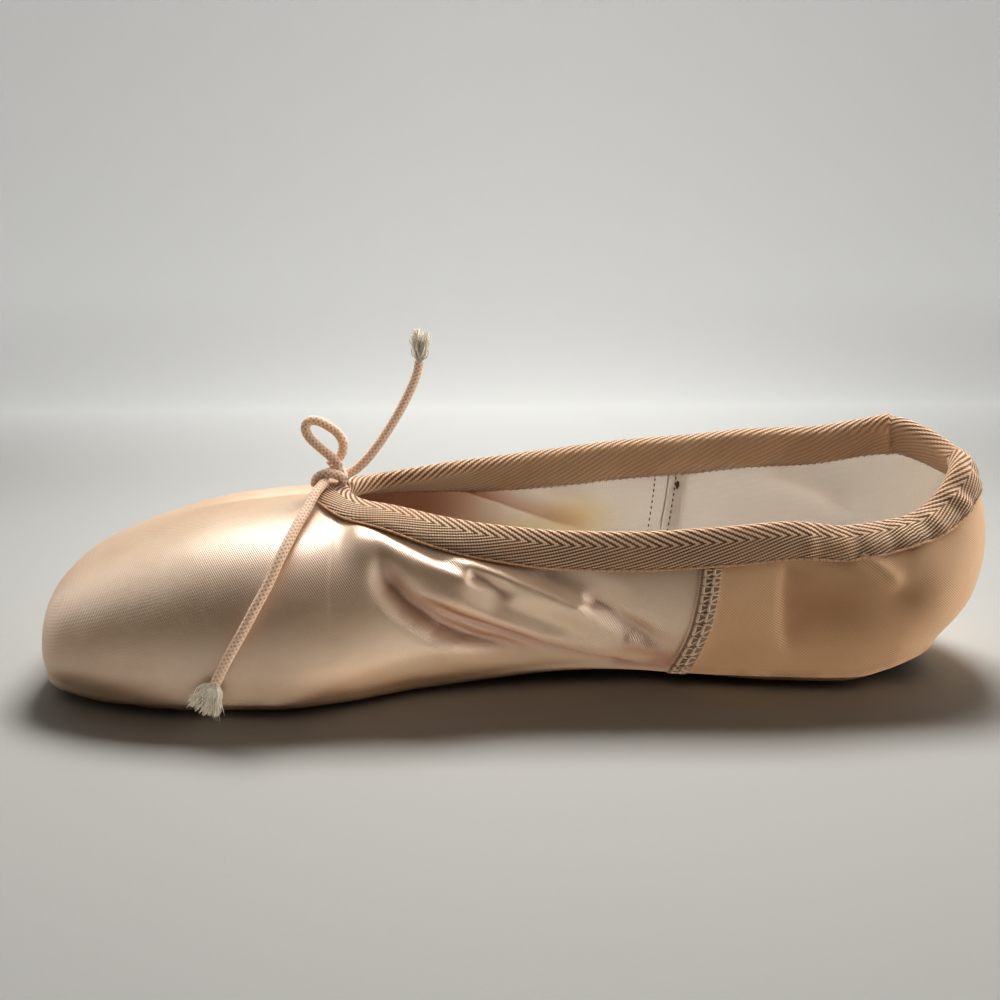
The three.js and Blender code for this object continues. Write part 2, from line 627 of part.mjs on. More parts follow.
const shoe = new THREE.Group();
function add(name, geometry, color, roughness) {
  const mesh = new THREE.Mesh(geometry, new THREE.MeshStandardMaterial({ color, roughness }));
  mesh.name = name;
  shoe.add(mesh);
}
add("upper", upperGeometry(), 0xd9b394, 0.4);
add("outsole", outsoleGeometry, 0x4a3026, 0.7);
add("insole", insoleGeometry, 0xe6dcc8, 0.85);
add("binding", tapeGeometry(), 0xcf9f86, 0.8);
add("drawstring_knot", knotGeometry(), 0xd8ac8e, 0.8);
add("drawstring_loop", cordGeometry(LOOP_ROUTE, 24), 0xd8ac8e, 0.8);
add("drawstring_front_end", cordGeometry(FRONT_ROUTE, 20), 0xd8ac8e, 0.8);
add("drawstring_back_end", cordGeometry(BACK_ROUTE, 14), 0xd8ac8e, 0.8);
add("drawstring_front_fray", frayGeometry([-70.15, -39.2, 10.45], [-74.4, -38.9, 3.1], 4.6, 1.2), 0xf2e6d0, 0.9);
add("drawstring_back_fray", frayGeometry([-25.1, 16.2, 76.6], [-24.4, 17.6, 84.6], 3.0, 1.2), 0xf2e6d0, 0.9);

export default shoe;
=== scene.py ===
"""A satin ballet pointe shoe, empty on its leather sole, with its drawstring tied at the throat.

Sizes on the last are in millimetres and become metres where a mesh is made. The toe points to -X, the heel to +X, the
slack near side is -Y, and the floor is at zero height.
"""

import json
import logging
import math
from collections.abc import Callable, Sequence
from dataclasses import dataclass
from enum import Enum

import bpy
import numpy as np
from mathutils import Matrix, Vector
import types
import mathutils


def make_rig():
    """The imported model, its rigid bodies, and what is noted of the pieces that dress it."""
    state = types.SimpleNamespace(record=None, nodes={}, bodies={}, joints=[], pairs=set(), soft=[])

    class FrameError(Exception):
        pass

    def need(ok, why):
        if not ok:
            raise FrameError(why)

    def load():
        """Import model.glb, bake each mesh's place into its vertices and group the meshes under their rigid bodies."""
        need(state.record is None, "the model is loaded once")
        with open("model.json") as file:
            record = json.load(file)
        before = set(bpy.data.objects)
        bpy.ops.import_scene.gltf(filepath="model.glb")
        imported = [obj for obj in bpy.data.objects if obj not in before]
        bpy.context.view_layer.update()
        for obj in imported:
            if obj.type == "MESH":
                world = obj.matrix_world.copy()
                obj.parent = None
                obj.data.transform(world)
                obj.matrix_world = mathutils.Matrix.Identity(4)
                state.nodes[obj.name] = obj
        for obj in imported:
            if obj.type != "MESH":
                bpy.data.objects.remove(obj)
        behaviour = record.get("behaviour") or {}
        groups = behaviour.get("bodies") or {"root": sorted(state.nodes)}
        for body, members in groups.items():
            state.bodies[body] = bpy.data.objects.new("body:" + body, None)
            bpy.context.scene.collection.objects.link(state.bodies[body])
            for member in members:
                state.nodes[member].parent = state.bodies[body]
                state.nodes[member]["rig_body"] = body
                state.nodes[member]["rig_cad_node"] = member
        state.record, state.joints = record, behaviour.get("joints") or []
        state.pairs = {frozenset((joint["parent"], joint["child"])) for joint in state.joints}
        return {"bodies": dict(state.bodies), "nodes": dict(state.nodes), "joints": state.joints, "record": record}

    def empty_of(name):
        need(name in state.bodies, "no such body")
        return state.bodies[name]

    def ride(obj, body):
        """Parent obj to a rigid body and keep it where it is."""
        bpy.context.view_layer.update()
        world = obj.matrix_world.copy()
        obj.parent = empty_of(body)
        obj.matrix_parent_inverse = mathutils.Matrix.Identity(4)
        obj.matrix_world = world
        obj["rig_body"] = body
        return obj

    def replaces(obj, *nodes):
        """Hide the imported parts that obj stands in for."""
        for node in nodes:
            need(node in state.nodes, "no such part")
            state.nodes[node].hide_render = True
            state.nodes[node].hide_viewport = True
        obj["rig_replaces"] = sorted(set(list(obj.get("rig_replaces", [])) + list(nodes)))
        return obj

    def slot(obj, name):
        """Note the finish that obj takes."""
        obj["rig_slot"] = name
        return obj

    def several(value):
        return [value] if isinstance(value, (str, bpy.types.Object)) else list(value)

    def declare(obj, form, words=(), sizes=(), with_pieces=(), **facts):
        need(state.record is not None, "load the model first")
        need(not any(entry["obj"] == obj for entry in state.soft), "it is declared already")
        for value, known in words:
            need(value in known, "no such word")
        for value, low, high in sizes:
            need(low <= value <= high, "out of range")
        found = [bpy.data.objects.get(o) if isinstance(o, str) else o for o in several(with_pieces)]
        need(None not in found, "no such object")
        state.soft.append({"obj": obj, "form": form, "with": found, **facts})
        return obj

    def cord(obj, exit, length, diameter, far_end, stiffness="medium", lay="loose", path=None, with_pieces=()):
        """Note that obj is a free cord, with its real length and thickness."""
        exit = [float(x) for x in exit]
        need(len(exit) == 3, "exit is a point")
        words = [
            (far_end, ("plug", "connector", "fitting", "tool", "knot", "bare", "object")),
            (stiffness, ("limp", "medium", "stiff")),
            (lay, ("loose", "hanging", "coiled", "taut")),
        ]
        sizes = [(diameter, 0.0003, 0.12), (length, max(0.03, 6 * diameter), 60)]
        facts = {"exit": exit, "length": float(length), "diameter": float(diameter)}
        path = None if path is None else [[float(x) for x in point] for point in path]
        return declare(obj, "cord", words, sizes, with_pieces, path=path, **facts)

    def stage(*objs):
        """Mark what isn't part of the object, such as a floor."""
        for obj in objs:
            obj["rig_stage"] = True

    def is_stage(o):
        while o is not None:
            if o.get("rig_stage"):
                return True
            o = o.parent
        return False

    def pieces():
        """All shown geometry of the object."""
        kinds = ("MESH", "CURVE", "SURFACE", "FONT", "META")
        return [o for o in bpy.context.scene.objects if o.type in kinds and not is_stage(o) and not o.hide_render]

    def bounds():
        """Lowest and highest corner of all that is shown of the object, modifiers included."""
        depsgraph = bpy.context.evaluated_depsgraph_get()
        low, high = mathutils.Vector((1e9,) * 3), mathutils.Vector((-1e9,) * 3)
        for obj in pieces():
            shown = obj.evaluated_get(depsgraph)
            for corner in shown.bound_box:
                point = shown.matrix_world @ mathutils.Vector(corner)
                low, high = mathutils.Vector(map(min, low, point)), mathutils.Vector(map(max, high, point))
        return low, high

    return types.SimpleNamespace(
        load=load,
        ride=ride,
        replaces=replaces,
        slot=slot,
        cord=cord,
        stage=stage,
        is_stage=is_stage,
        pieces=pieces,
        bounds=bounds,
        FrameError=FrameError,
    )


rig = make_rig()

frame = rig.load()
CAD_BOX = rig.bounds()

LOG = logging.getLogger("pointe_shoe")
MM = 0.001
BODY = "root"
QUARTER = math.pi / 2
SEED = 7
Array = np.ndarray
Point = tuple[float, float, float]
Colour = tuple[float, float, float]


def mix(a: Array | float, b: Array | float, share: Array | float) -> Array | float:
    """Goes from a to b by share."""
    return a + (b - a) * share


def ease(share: Array | float) -> Array:
    """Rises smoothly from nothing to one, with level ends."""
    t = np.clip(share, 0.0, 1.0)
    return t * t * (3.0 - 2.0 * t)


def nose(distance: Array, round_over: float) -> Array:
    """Opens from nothing to the full width over a round of that length."""
    return np.sqrt(np.maximum(0.0, 1.0 - (1.0 - np.clip(distance / round_over, 0.0, 1.0)) ** 2))


def unit(vectors: Array) -> Array:
    """Scales vectors along the last axis to length one."""
    return vectors / np.maximum(np.linalg.norm(vectors, axis=-1, keepdims=True), 1e-12)


def linear(red: int, green: int, blue: int) -> Colour:
    """Turns a screen colour of 0 to 255 into the linear colour that a shader takes."""
    return tuple(((c / 255.0) / 12.92 if c < 10.4 else ((c / 255.0 + 0.055) / 1.055) ** 2.4) for c in (red, green, blue))


class Table:
    """A short table with named columns, read between its rows on a smooth curve that never overshoots."""

    def __init__(self, names: str, *rows: tuple[float, ...]) -> None:
        """Keeps the columns by name; the first one is the place along the table."""
        self.columns = dict(zip(names.split(), np.array(rows).T))
        self.places = self.columns[names.split()[0]]

    def read(self, column: str, at: Array | float) -> Array:
        """Reads a column.

        Args:
            column: The column's name.
            at: Places along the first column.

        Returns:
            The column's values at those places.
        """
        x, y = self.places, self.columns[column]
        place = np.clip(at, x[0], x[-1])
        i = np.clip(np.searchsorted(x, place, side="left") - 1, 0, len(x) - 2)
        slope = np.diff(y) / np.diff(x)
        before, after = slope[:-1], slope[1:]
        total = np.where(before * after > 0, before + after, 1.0)
        inner = np.where(before * after > 0, 2 * before * after / total, 0.0)
        tangent = np.concatenate([slope[:1], inner, slope[-1:]])
        span = x[i + 1] - x[i]
        t = (place - x[i]) / span
        rise = (2 * t**3 - 3 * t**2 + 1) * y[i] + (3 * t**2 - 2 * t**3) * y[i + 1]
        return rise + span * ((t**3 - 2 * t**2 + t) * tangent[i] + (t**3 - t**2) * tangent[i + 1])


class Side(Enum):
    """The two sides of the shoe, by the sign of Y."""

    NEAR = -1
    FAR = 1

    @property
    def word(self) -> str:
        """The side's name at the head of a table's columns."""
        return self.name.lower()


# Cross-sections of the last. at is the share of the length, width and foot are shares of the ball width, crest and
# widest shares of the instep height, and square the exponent of the curve over the widest place.
SECTIONS = Table(
    "at width foot crest widest square",
    (0.0, 0.65, 0.585, 0.6, 0.26, 2.6),
    (0.05, 0.8, 0.74, 0.72, 0.26, 2.5),
    (0.1, 0.905, 0.855, 0.825, 0.27, 2.4),
    (0.18, 0.98, 0.945, 0.935, 0.28, 2.35),
    (0.26, 1.0, 0.95, 0.98, 0.29, 2.3),
    (0.32, 0.96, 0.865, 1.0, 0.31, 2.25),
    (0.4, 0.845, 0.665, 1.0, 0.35, 2.2),
    (0.47, 0.76, 0.575, 1.0, 0.38, 2.2),
    (0.55, 0.7, 0.54, 1.0, 0.4, 2.2),
    (0.65, 0.685, 0.555, 1.0, 0.42, 2.2),
    (0.75, 0.695, 0.59, 1.0, 0.45, 2.2),
    (0.83, 0.7, 0.62, 1.0, 0.49, 2.2),
    (0.892, 0.682, 0.61, 1.0, 0.54, 2.2),
)

# The collar. Heights are shares of the heel height, and outs are half-widths as shares of the ball width.
COLLAR = Table(
    "at nearUp farUp nearOut farOut",
    (0.3125, 0.8125, 0.8125, 0.12, 0.12),
    (0.33, 0.806, 0.808, 0.14, 0.14),
    (0.37, 0.792, 0.822, 0.175, 0.175),
    (0.42, 0.76, 0.84, 0.225, 0.225),
    (0.47, 0.737, 0.855, 0.262, 0.262),
    (0.55, 0.712, 0.89, 0.285, 0.285),
    (0.62, 0.708, 0.925, 0.29, 0.29),
    (0.7, 0.725, 0.95, 0.29, 0.29),
    (0.77, 0.742, 0.98, 0.275, 0.28),
    (0.83, 0.712, 0.99, 0.25, 0.265),
    (0.892, 0.725, 1.035, 0.2, 0.235),
)

# The heel as a fan about its seat. Radii are shares of the heel radius, and heights are shares of the heel height.
HEEL_FAN = Table(
    "turn back foot widest nearUp farUp nearOut farOut",
    (0.0, 0.984, 0.88, 0.439, 0.725, 1.035, 0.577, 0.678),
    (0.3, 0.975, 0.81, 0.47, 0.765, 1.055, 0.55, 0.65),
    (0.6, 0.98, 0.71, 0.53, 0.85, 1.02, 0.6, 0.66),
    (0.85, 0.995, 0.64, 0.58, 0.935, 0.98, 0.685, 0.69),
    (1.0, 1.0, 0.62, 0.59, 0.96, 0.96, 0.71, 0.71),
)


@dataclass(frozen=True)
class Section:
    """The sizes of the last's section at one or more stations, as arrays of one shape."""

    x: Array
    out: Array
    up: Array
    foot: Array
    turn: Array
    wide: Array
    widest: Array
    square: Array
    edge: Array
    inner: Array
    recess: Array
    swell: Array


@dataclass(frozen=True)
class Last:
    """The form that the shoe is made on, in millimetres. Rows run from the margin underneath to the collar."""

    length: float = 238.0
    ball_width: float = 75.0
    instep_height: float = 45.5
    heel_height: float = 56.0
    vamp_length: float = 75.0
    heel_radius: float = 26.0
    tip_round: float = 14.0
    platform_lean: float = 0.12
    throat_round: float = 9.0
    edge_radius: float = 3.0
    box_edge_radius: float = 4.0
    edge_height: float = 1.1
    satin_wall: float = 1.3
    box_wall: float = 3.0
    box_length: float = 46.0
    sole_thickness: float = 2.2
    sole_inset: float = 4.6
    sole_heel_reach: float = 11.5
    sole_tip_gap: float = 20.0
    sole_tip_round: float = 26.0
    sole_recess_gap: float = 0.6
    arch_rise: float = 2.5
    lasting_margin: float = 15.0
    margin_round: float = 18.0
    fit_gap: float = 0.4
    seam_from_toe: float = 162.5
    seam_strip: float = 4.5
    seam_raise: float = 0.4
    seam_slant: float = 7.0
    heel_spring: float = 5.0
    under_rows: int = 4
    edge_rows: int = 3
    side_rows: int = 3
    over_rows: int = 7

    @property
    def toe_x(self) -> float:
        """Where the toe's platform stands."""
        return -self.length / 2

    @property
    def heel_x(self) -> float:
        """The middle of the heel's fan."""
        return self.length / 2 - self.heel_radius

    @property
    def throat_x(self) -> float:
        """Where the collar begins."""
        return self.toe_x + self.vamp_length

    @property
    def seam_x(self) -> float:
        """Where the side seam stands."""
        return self.toe_x + self.seam_from_toe

    @property
    def sole_tip_x(self) -> float:
        """Where the leather sole begins."""
        return self.toe_x + self.sole_tip_gap

    @property
    def heel_at(self) -> float:
        """The station where the heel's fan begins."""
        return (self.heel_x - self.toe_x) / self.length

    @property
    def over_from(self) -> int:
        """The row of the widest place."""
        return self.under_rows + self.edge_rows + self.side_rows

    @property
    def top_row(self) -> int:
        """The row of the collar."""
        return self.over_from + self.over_rows

    def station_of(self, x: Array | float) -> Array | float:
        """The station at a place along the shoe, in front of the heel's fan."""
        return (x - self.toe_x) / self.length

    def lift(self, x: Array) -> Array:
        """How far the sole leaves the floor at x, in the arch."""
        start, end = self.toe_x + 0.4 * self.length, self.toe_x + 0.78 * self.length
        return self.arch_rise * np.sin(np.pi * np.clip((x - start) / (end - start), 0, 1)) ** 2

    def foot_half(self, x: Array) -> Array:
        """Half the width along the feather edge."""
        return self.ball_width / 2 * SECTIONS.read("foot", self.station_of(x))

    def sole_half(self, x: Array, grow: float) -> Array:
        """Half the width of the leather sole at x, grown all round by grow."""
        back = np.maximum(0, x - self.heel_x) / (self.sole_heel_reach + grow)
        half = self.foot_half(np.minimum(x, self.heel_x)) - self.sole_inset + grow
        return half * nose(x - self.sole_tip_x + grow, self.sole_tip_round) * np.sqrt(np.maximum(0, 1 - back**2))

    def wall(self, x: Array) -> Array:
        """The wall's thickness: stiff at the box, thin along the quarters."""
        share = ease((x - self.toe_x - 0.6 * self.box_length) / self.box_length)
        return mix(self.box_wall, self.satin_wall, share)

    def slant(self, x: Array) -> Array:
        """How far the foot of the section leans toward the toe, so that the side seam slants."""
        return self.seam_slant * np.maximum(0, 1 - np.abs(x - self.seam_x) / 40)

    def section(self, side: Side, at: Array) -> Section:
        """The sizes of the section at each station.

        Args:
            side: The side of the shoe.
            at: Stations, as shares of the length, and beyond heel_at round the heel.

        Returns:
            The section's sizes.
        """
        heel = np.clip((at - self.heel_at) / (1 - self.heel_at), 0, 1)
        fan = at > self.heel_at + 1e-12
        x = np.where(fan, self.heel_x, self.toe_x + at * self.length)
        half = self.ball_width / 2
        opened = 2 * half * COLLAR.read(side.word + "Out", at) * nose(x - self.throat_x, self.throat_round)
        out = np.where(x <= self.throat_x, 0.0, opened)
        up = np.where(
            x <= self.throat_x,
            self.instep_height * SECTIONS.read("crest", at),
            self.heel_height * COLLAR.read(side.word + "Up", at),
        )
        under = x - self.slant(x)
        foot = np.where(fan, self.heel_radius * HEEL_FAN.read("foot", heel), self.foot_half(under))
        turn = np.where(fan, QUARTER * (1 - heel), QUARTER)
        across = self.sole_half(under, self.sole_recess_gap)
        reach = self.sole_heel_reach + self.sole_recess_gap
        margin = (foot - self.lasting_margin) * nose(x - self.sole_tip_x - 12, self.margin_round)
        return Section(
            x=x,
            out=np.where(fan, self.heel_radius * HEEL_FAN.read(side.word + "Out", heel), out),
            up=np.where(fan, self.heel_height * HEEL_FAN.read(side.word + "Up", heel), up),
            foot=foot,
            turn=turn,
            wide=np.where(fan, self.heel_radius * HEEL_FAN.read("back", heel), half * SECTIONS.read("width", at)),
            widest=np.where(
                fan,
                self.heel_height * HEEL_FAN.read("widest", heel),
                self.instep_height * SECTIONS.read("widest", at),
            ),
            square=np.where(fan, 2.2, SECTIONS.read("square", at)),
            edge=mix(self.box_edge_radius, self.edge_radius, ease((x - self.toe_x) / self.box_length)),
            inner=np.where(fan, mix(foot - self.lasting_margin, 5.0, heel), margin),
            recess=np.where(
                fan,
                1 / np.hypot(np.cos(turn) / reach, np.sin(turn) / np.maximum(across, 1e-6)),
                across,
            ),
            swell=(1 - (1 - np.clip((x - self.toe_x) / self.tip_round, 0, 1)) ** 4) ** 0.25,
        )

    def profile(self, s: Section, row: Array) -> tuple[Array, Array]:
        """The distance out and the height of the section at each row.

        Args:
            s: The section's sizes.
            row: Rows, of a shape that goes with the section's.

        Returns:
            The distance out and the height.
        """
        top = np.arccos(np.clip((s.out / s.wide) ** (s.square / 2), 0, 1))
        angle = top * np.clip((row - self.over_from) / self.over_rows, 0, 1)
        share = 2 / s.square
        over_out = s.wide * np.where(np.cos(angle) < 1e-9, 0, np.maximum(np.cos(angle), 1e-12) ** share)
        over_up = mix(s.widest, s.up, np.sin(angle) ** share / np.sin(top) ** share)
        side = np.clip((row - self.under_rows - self.edge_rows) / self.side_rows, 0, 1)
        side_out = mix(s.foot, s.wide, np.sin(side * QUARTER))
        side_up = mix(self.edge_height + s.edge, s.widest, side)
        bend = QUARTER * np.clip((row - self.under_rows) / self.edge_rows, 0, 1)
        edge_out = s.foot - s.edge * (1 - np.sin(bend))
        edge_up = self.edge_height + s.edge * (1 - np.cos(bend))
        step = np.maximum(s.recess, s.inner + 0.3)
        foot = s.foot - s.edge
        base = self.sole_thickness + self.fit_gap
        raised = mix(self.edge_height, base, ease((s.recess - s.inner) / 1.5))
        outs = [s.inner, mix(s.inner, step, 0.5), step, step + 0.55 * np.maximum(0.3, foot - step), foot]
        ups = [raised, raised, raised, self.edge_height + 0 * raised, self.edge_height + 0 * raised]
        under_out, under_up = outs[0] + 0 * row, ups[0] + 0 * row
        for k in range(self.under_rows):
            part = np.clip(row - k, 0, 1)
            under_out = np.where(row > k, mix(outs[k], outs[k + 1], part), under_out)
            under_up = np.where(row > k, mix(ups[k], ups[k + 1], part), under_up)
        stages = [row >= self.over_from, row >= self.under_rows + self.edge_rows, row > self.under_rows]
        reach = np.select(stages, [over_out, side_out, edge_out], under_out)
        height = np.select(stages, [over_up, side_up, edge_up], under_up)
        return reach, height

    def surface(self, side: Side, at: Array, row: Array) -> Array:
        """Points of the last's surface.

        Args:
            side: The side of the shoe.
            at: Stations.
            row: Rows, of a shape that goes with the stations'.

        Returns:
            The points, with x, y and z along the last axis.
        """
        at, row = np.broadcast_arrays(np.asarray(at, float), np.asarray(row, float))
        s = self.section(side, at)
        reach, height = self.profile(s, row)
        middle = mix(self.edge_height, s.up, 0.45)
        z = mix(middle, height, s.swell)
        out = reach * s.swell
        lean = self.platform_lean * (z - middle) * (1 - ease((s.x - self.toe_x) / (2 * self.box_length)))
        below = np.clip((s.up - z) / (s.up - self.edge_height), 0, 1)
        x = s.x + lean - self.slant(s.x) * below**2 + out * np.cos(s.turn)
        return np.stack([x, side.value * out * np.sin(s.turn), z + self.lift(x) * (1 - ease(z / s.widest))], axis=-1)

    def sprung(self, points: Array) -> Array:
        """Lifts the slack lower back of the heel off the floor, most of all at its near corner."""
        x, y, z = points[..., 0], points[..., 1], points[..., 2]
        away = ease((x - self.heel_x + 7 - 0.35 * y) / 24)
        low = 1 - ease((z - 1) / 22)
        raised = z + self.heel_spring * away * low
        return np.stack([x - 0.35 * self.heel_spring * away * low, y, raised], axis=-1)

    def normal(self, side: Side, at: Array, row: Array) -> Array:
        """Directions out of the shoe at points of the last.

        Args:
            side: The side of the shoe.
            at: Stations.
            row: Rows, of a shape that goes with the stations'.

        Returns:
            Unit vectors.
        """
        at, row = np.broadcast_arrays(np.asarray(at, float), np.asarray(row, float))
        step, row_step = 1e-4, 0.02
        throat = self.station_of(self.throat_x)
        at = np.where(np.abs(at - throat) < step, throat - 3 * step, at)
        centred = np.abs(self.surface(side, at, row)[..., 1]) < 1e-9
        ahead = np.where(centred & (at < self.heel_at), at, np.minimum(at + step, 1))
        along = self.surface(side, ahead, row) - self.surface(side, np.maximum(at - step, 0), row)
        above = np.minimum(row + row_step, self.top_row)
        up = self.surface(side, at, above) - self.surface(side, at, np.maximum(row - row_step, 0))
        normals = unit(np.cross(along, up) * -side.value)
        normals[..., 1] = np.where(centred, 0, normals[..., 1])
        tip = np.array([-1, 0, self.platform_lean])
        return unit(np.where((at < step)[..., None], tip, normals))

    def nearest(self, side: Side, at: Array, wish: Array) -> tuple[Array, Array]:
        """Finds the stations and rows of the last's points nearest to wished places, by a few Newton steps.

        Args:
            side: The side of the shoe.
            at: Stations to start from; the rows start at the collar.
            wish: The wished places.

        Returns:
            The stations and the rows.
        """
        at, row = np.array(at, float), np.full(np.shape(at), float(self.top_row))
        step, row_step = 1e-4, 0.02
        for _ in range(12):
            here = self.surface(side, at, row)
            onward = np.where(at + step > 1, -step, step)
            heelward = (self.surface(side, at + onward, row) - here) / onward[..., None]
            down = (here - self.surface(side, at, row - row_step)) / row_step
            miss = wish - here
            aa, ab, bb = (heelward**2).sum(-1), (heelward * down).sum(-1), (down**2).sum(-1)
            am, bm = (heelward * miss).sum(-1), (down * miss).sum(-1)
            whole = aa * bb - ab * ab
            good = whole > 1e-9
            whole = np.where(good, whole, 1)
            at = np.where(good, np.clip(at + (am * bb - bm * ab) / whole, step, 1), at)
            row = np.where(good, np.clip(row + (bm * aa - am * ab) / whole, self.over_from, self.top_row), row)
        return at, row


LAST = Last()


@dataclass(frozen=True)
class Fold:
    """A soft ridge or trough in the near wing, along a line of places given by x and height, in millimetres."""

    line: tuple[tuple[float, float], ...]
    height: float
    above: float
    below: float
    # Painted shade: how far the fold darkens the colour toward a warm brown, for the shade in its crease.
    warmth: float = 0.0

    def share(self, x: Array, z: Array) -> Array:
        """How much of the fold's height a place has.

        Args:
            x: Places along the shoe.
            z: Heights.

        Returns:
            Shares from nothing to one.
        """
        line = np.array(self.line)
        lengths = np.linalg.norm(np.diff(line, axis=0), axis=1)
        starts = np.concatenate([[0], np.cumsum(lengths)])
        best = np.full(np.shape(x), 1e9)
        over = np.zeros(np.shape(x))
        along = np.zeros(np.shape(x))
        for (a, b), length, start in zip(zip(line[:-1], line[1:]), lengths, starts):
            step = (b - a) / length
            t = np.clip((x - a[0]) * step[0] + (z - a[1]) * step[1], 0, length)
            dx, dz = x - a[0] - t * step[0], z - a[1] - t * step[1]
            distance = np.hypot(dx, dz)
            closer = distance < best
            best = np.where(closer, distance, best)
            over = np.where(closer, step[0] * dz - step[1] * dx, over)
            along = np.where(closer, (start + t) / starts[-1], along)
        width = np.where(over > 0, self.above, self.below)
        ends = ease(along / 0.18) * ease((1 - along) / 0.3)
        return np.exp(-((best / width) ** 2)) * ends


@dataclass(frozen=True)
class Dent:
    """A round hollow or swelling about a place in the shoe, in millimetres."""

    centre: Point
    radius: Point
    height: float
    # Painted shade: how far the dent darkens the colour, for the shade in its hollow.
    warmth: float = 0.0

    def share(self, points: Array) -> Array:
        """How much of the dent's height each point has."""
        return np.exp(-((((points - np.array(self.centre)) / np.array(self.radius)) ** 2).sum(-1)))


# A fold's fifth number, where given, is its painted shade.
WING_FOLDS = (
    Fold(((-44, 43.6), (-36.6, 40.8), (-30, 37.4), (-24.5, 35.0), (-18.6, 32.9), (-11.6, 29.6), (-3.5, 25.4)), 2.2, 1.6, 4.6),
    Fold(((-13, 32.6), (-8.0, 30.8), (-3.5, 28.4), (-0.5, 26.4)), -1.3, 1.3, 1.8, 0.35),
    Fold(((-20, 35.8), (-15, 34.4), (-4.5, 31.3), (3.7, 28.2), (12.0, 24.6), (19.2, 21.8), (28, 19.4)), 2.7, 1.7, 5.2),
    Fold(((2, 33.5), (12, 30.0), (21, 26.0), (29, 20.5)), -0.8, 3.4, 3.0, 0.1),
    Fold(((-35, 39), (-31, 33.0), (-25.6, 26.8), (-18.5, 21.0), (-10, 16.6), (-1, 12.8), (8, 9.8)), -3.2, 2.2, 3.4, 0.6),
    Fold(((-26, 29.5), (-13, 22.6), (-4.4, 19.0), (4.9, 14.8), (14.7, 11.2), (24.8, 7.9), (36, 5.0)), -1.8, 0.45, 1.8, 0.85),
    Fold(((-24, 30.6), (-13, 25.2), (-4.4, 21.6), (4.9, 17.4), (14.7, 13.8), (24.8, 10.4), (34, 7.6)), 1.7, 2.6, 2.0, 0.25),
    Fold(((-39, 39.0), (-35.4, 34.0), (-32.2, 29.0), (-28.2, 24.0), (-21.5, 17.8), (-13, 11.6), (-3, 7.0)), 0.5, 2.6, 3.6),
    Fold(((14, 26.0), (22.5, 21.2), (29.5, 16.8), (35.5, 11.0)), -1.9, 2.2, 3.0, 0.4),
    Fold(((24, 14.5), (31, 11.6), (38, 10.4)), 0.9, 1.6, 2.0, 0.5),
    Fold(((22, 7.4), (30, 6.6), (37.0, 7.4)), 0.7, 1.3, 1.6, 0.5),
    Fold(((43.4, 38.0), (43.0, 30.0), (42.0, 22.0), (40.6, 15.0), (38.6, 9.0), (36.6, 4.5)), -0.7, 0.7, 0.7, 1.0),
)
HEEL_FOLDS = (
    Fold(((79, 36.2), (82.5, 34.0), (86.5, 31.0), (92, 26.4)), 1.9, 2.4, 2.0),
    Fold(((80, 44), (88, 40.0), (96, 37.0)), -0.7, 2.2, 2.6, 0.1),
    Fold(((64.5, 36), (63.6, 27), (64.4, 16), (67, 8)), -1.5, 7.0, 1.6, 0.3),
)
FAR_FOLDS = (
    Fold(((-24, 45.4), (-12.7, 39.3), (1.2, 33.5), (12.5, 29.3), (24, 25.6)), -1.7, 4.0, 0.9, 0.55),
    Fold(((68, 44), (79, 40.7), (88, 36), (95, 30)), -1.3, 6.0, 2.2, 0.12),
    Fold(((6, 44), (14, 38), (24, 33.5)), -0.6, 4.0, 2.5, 0.1),
)
# A dent's fourth number, where given, is its painted shade.
DENTS = (
    Dent((76, -26, 22), (12, 14, 10), -3.8, 0.55),
    Dent((93, -26, 25.0), (5.0, 9, 4.5), -1.8, 0.4),
    Dent((-50, -17, 42.5), (3.4, 8, 4), -0.5, 0.1),
    Dent((-56, 4, 45), (9, 3.0, 4), -0.3),
    Dent((50, -25, 12), (8, 10, 7), -0.8, 0.1),
    Dent((36.5, -21, 7.5), (4, 6, 3.5), 0.2, 0.9),
)


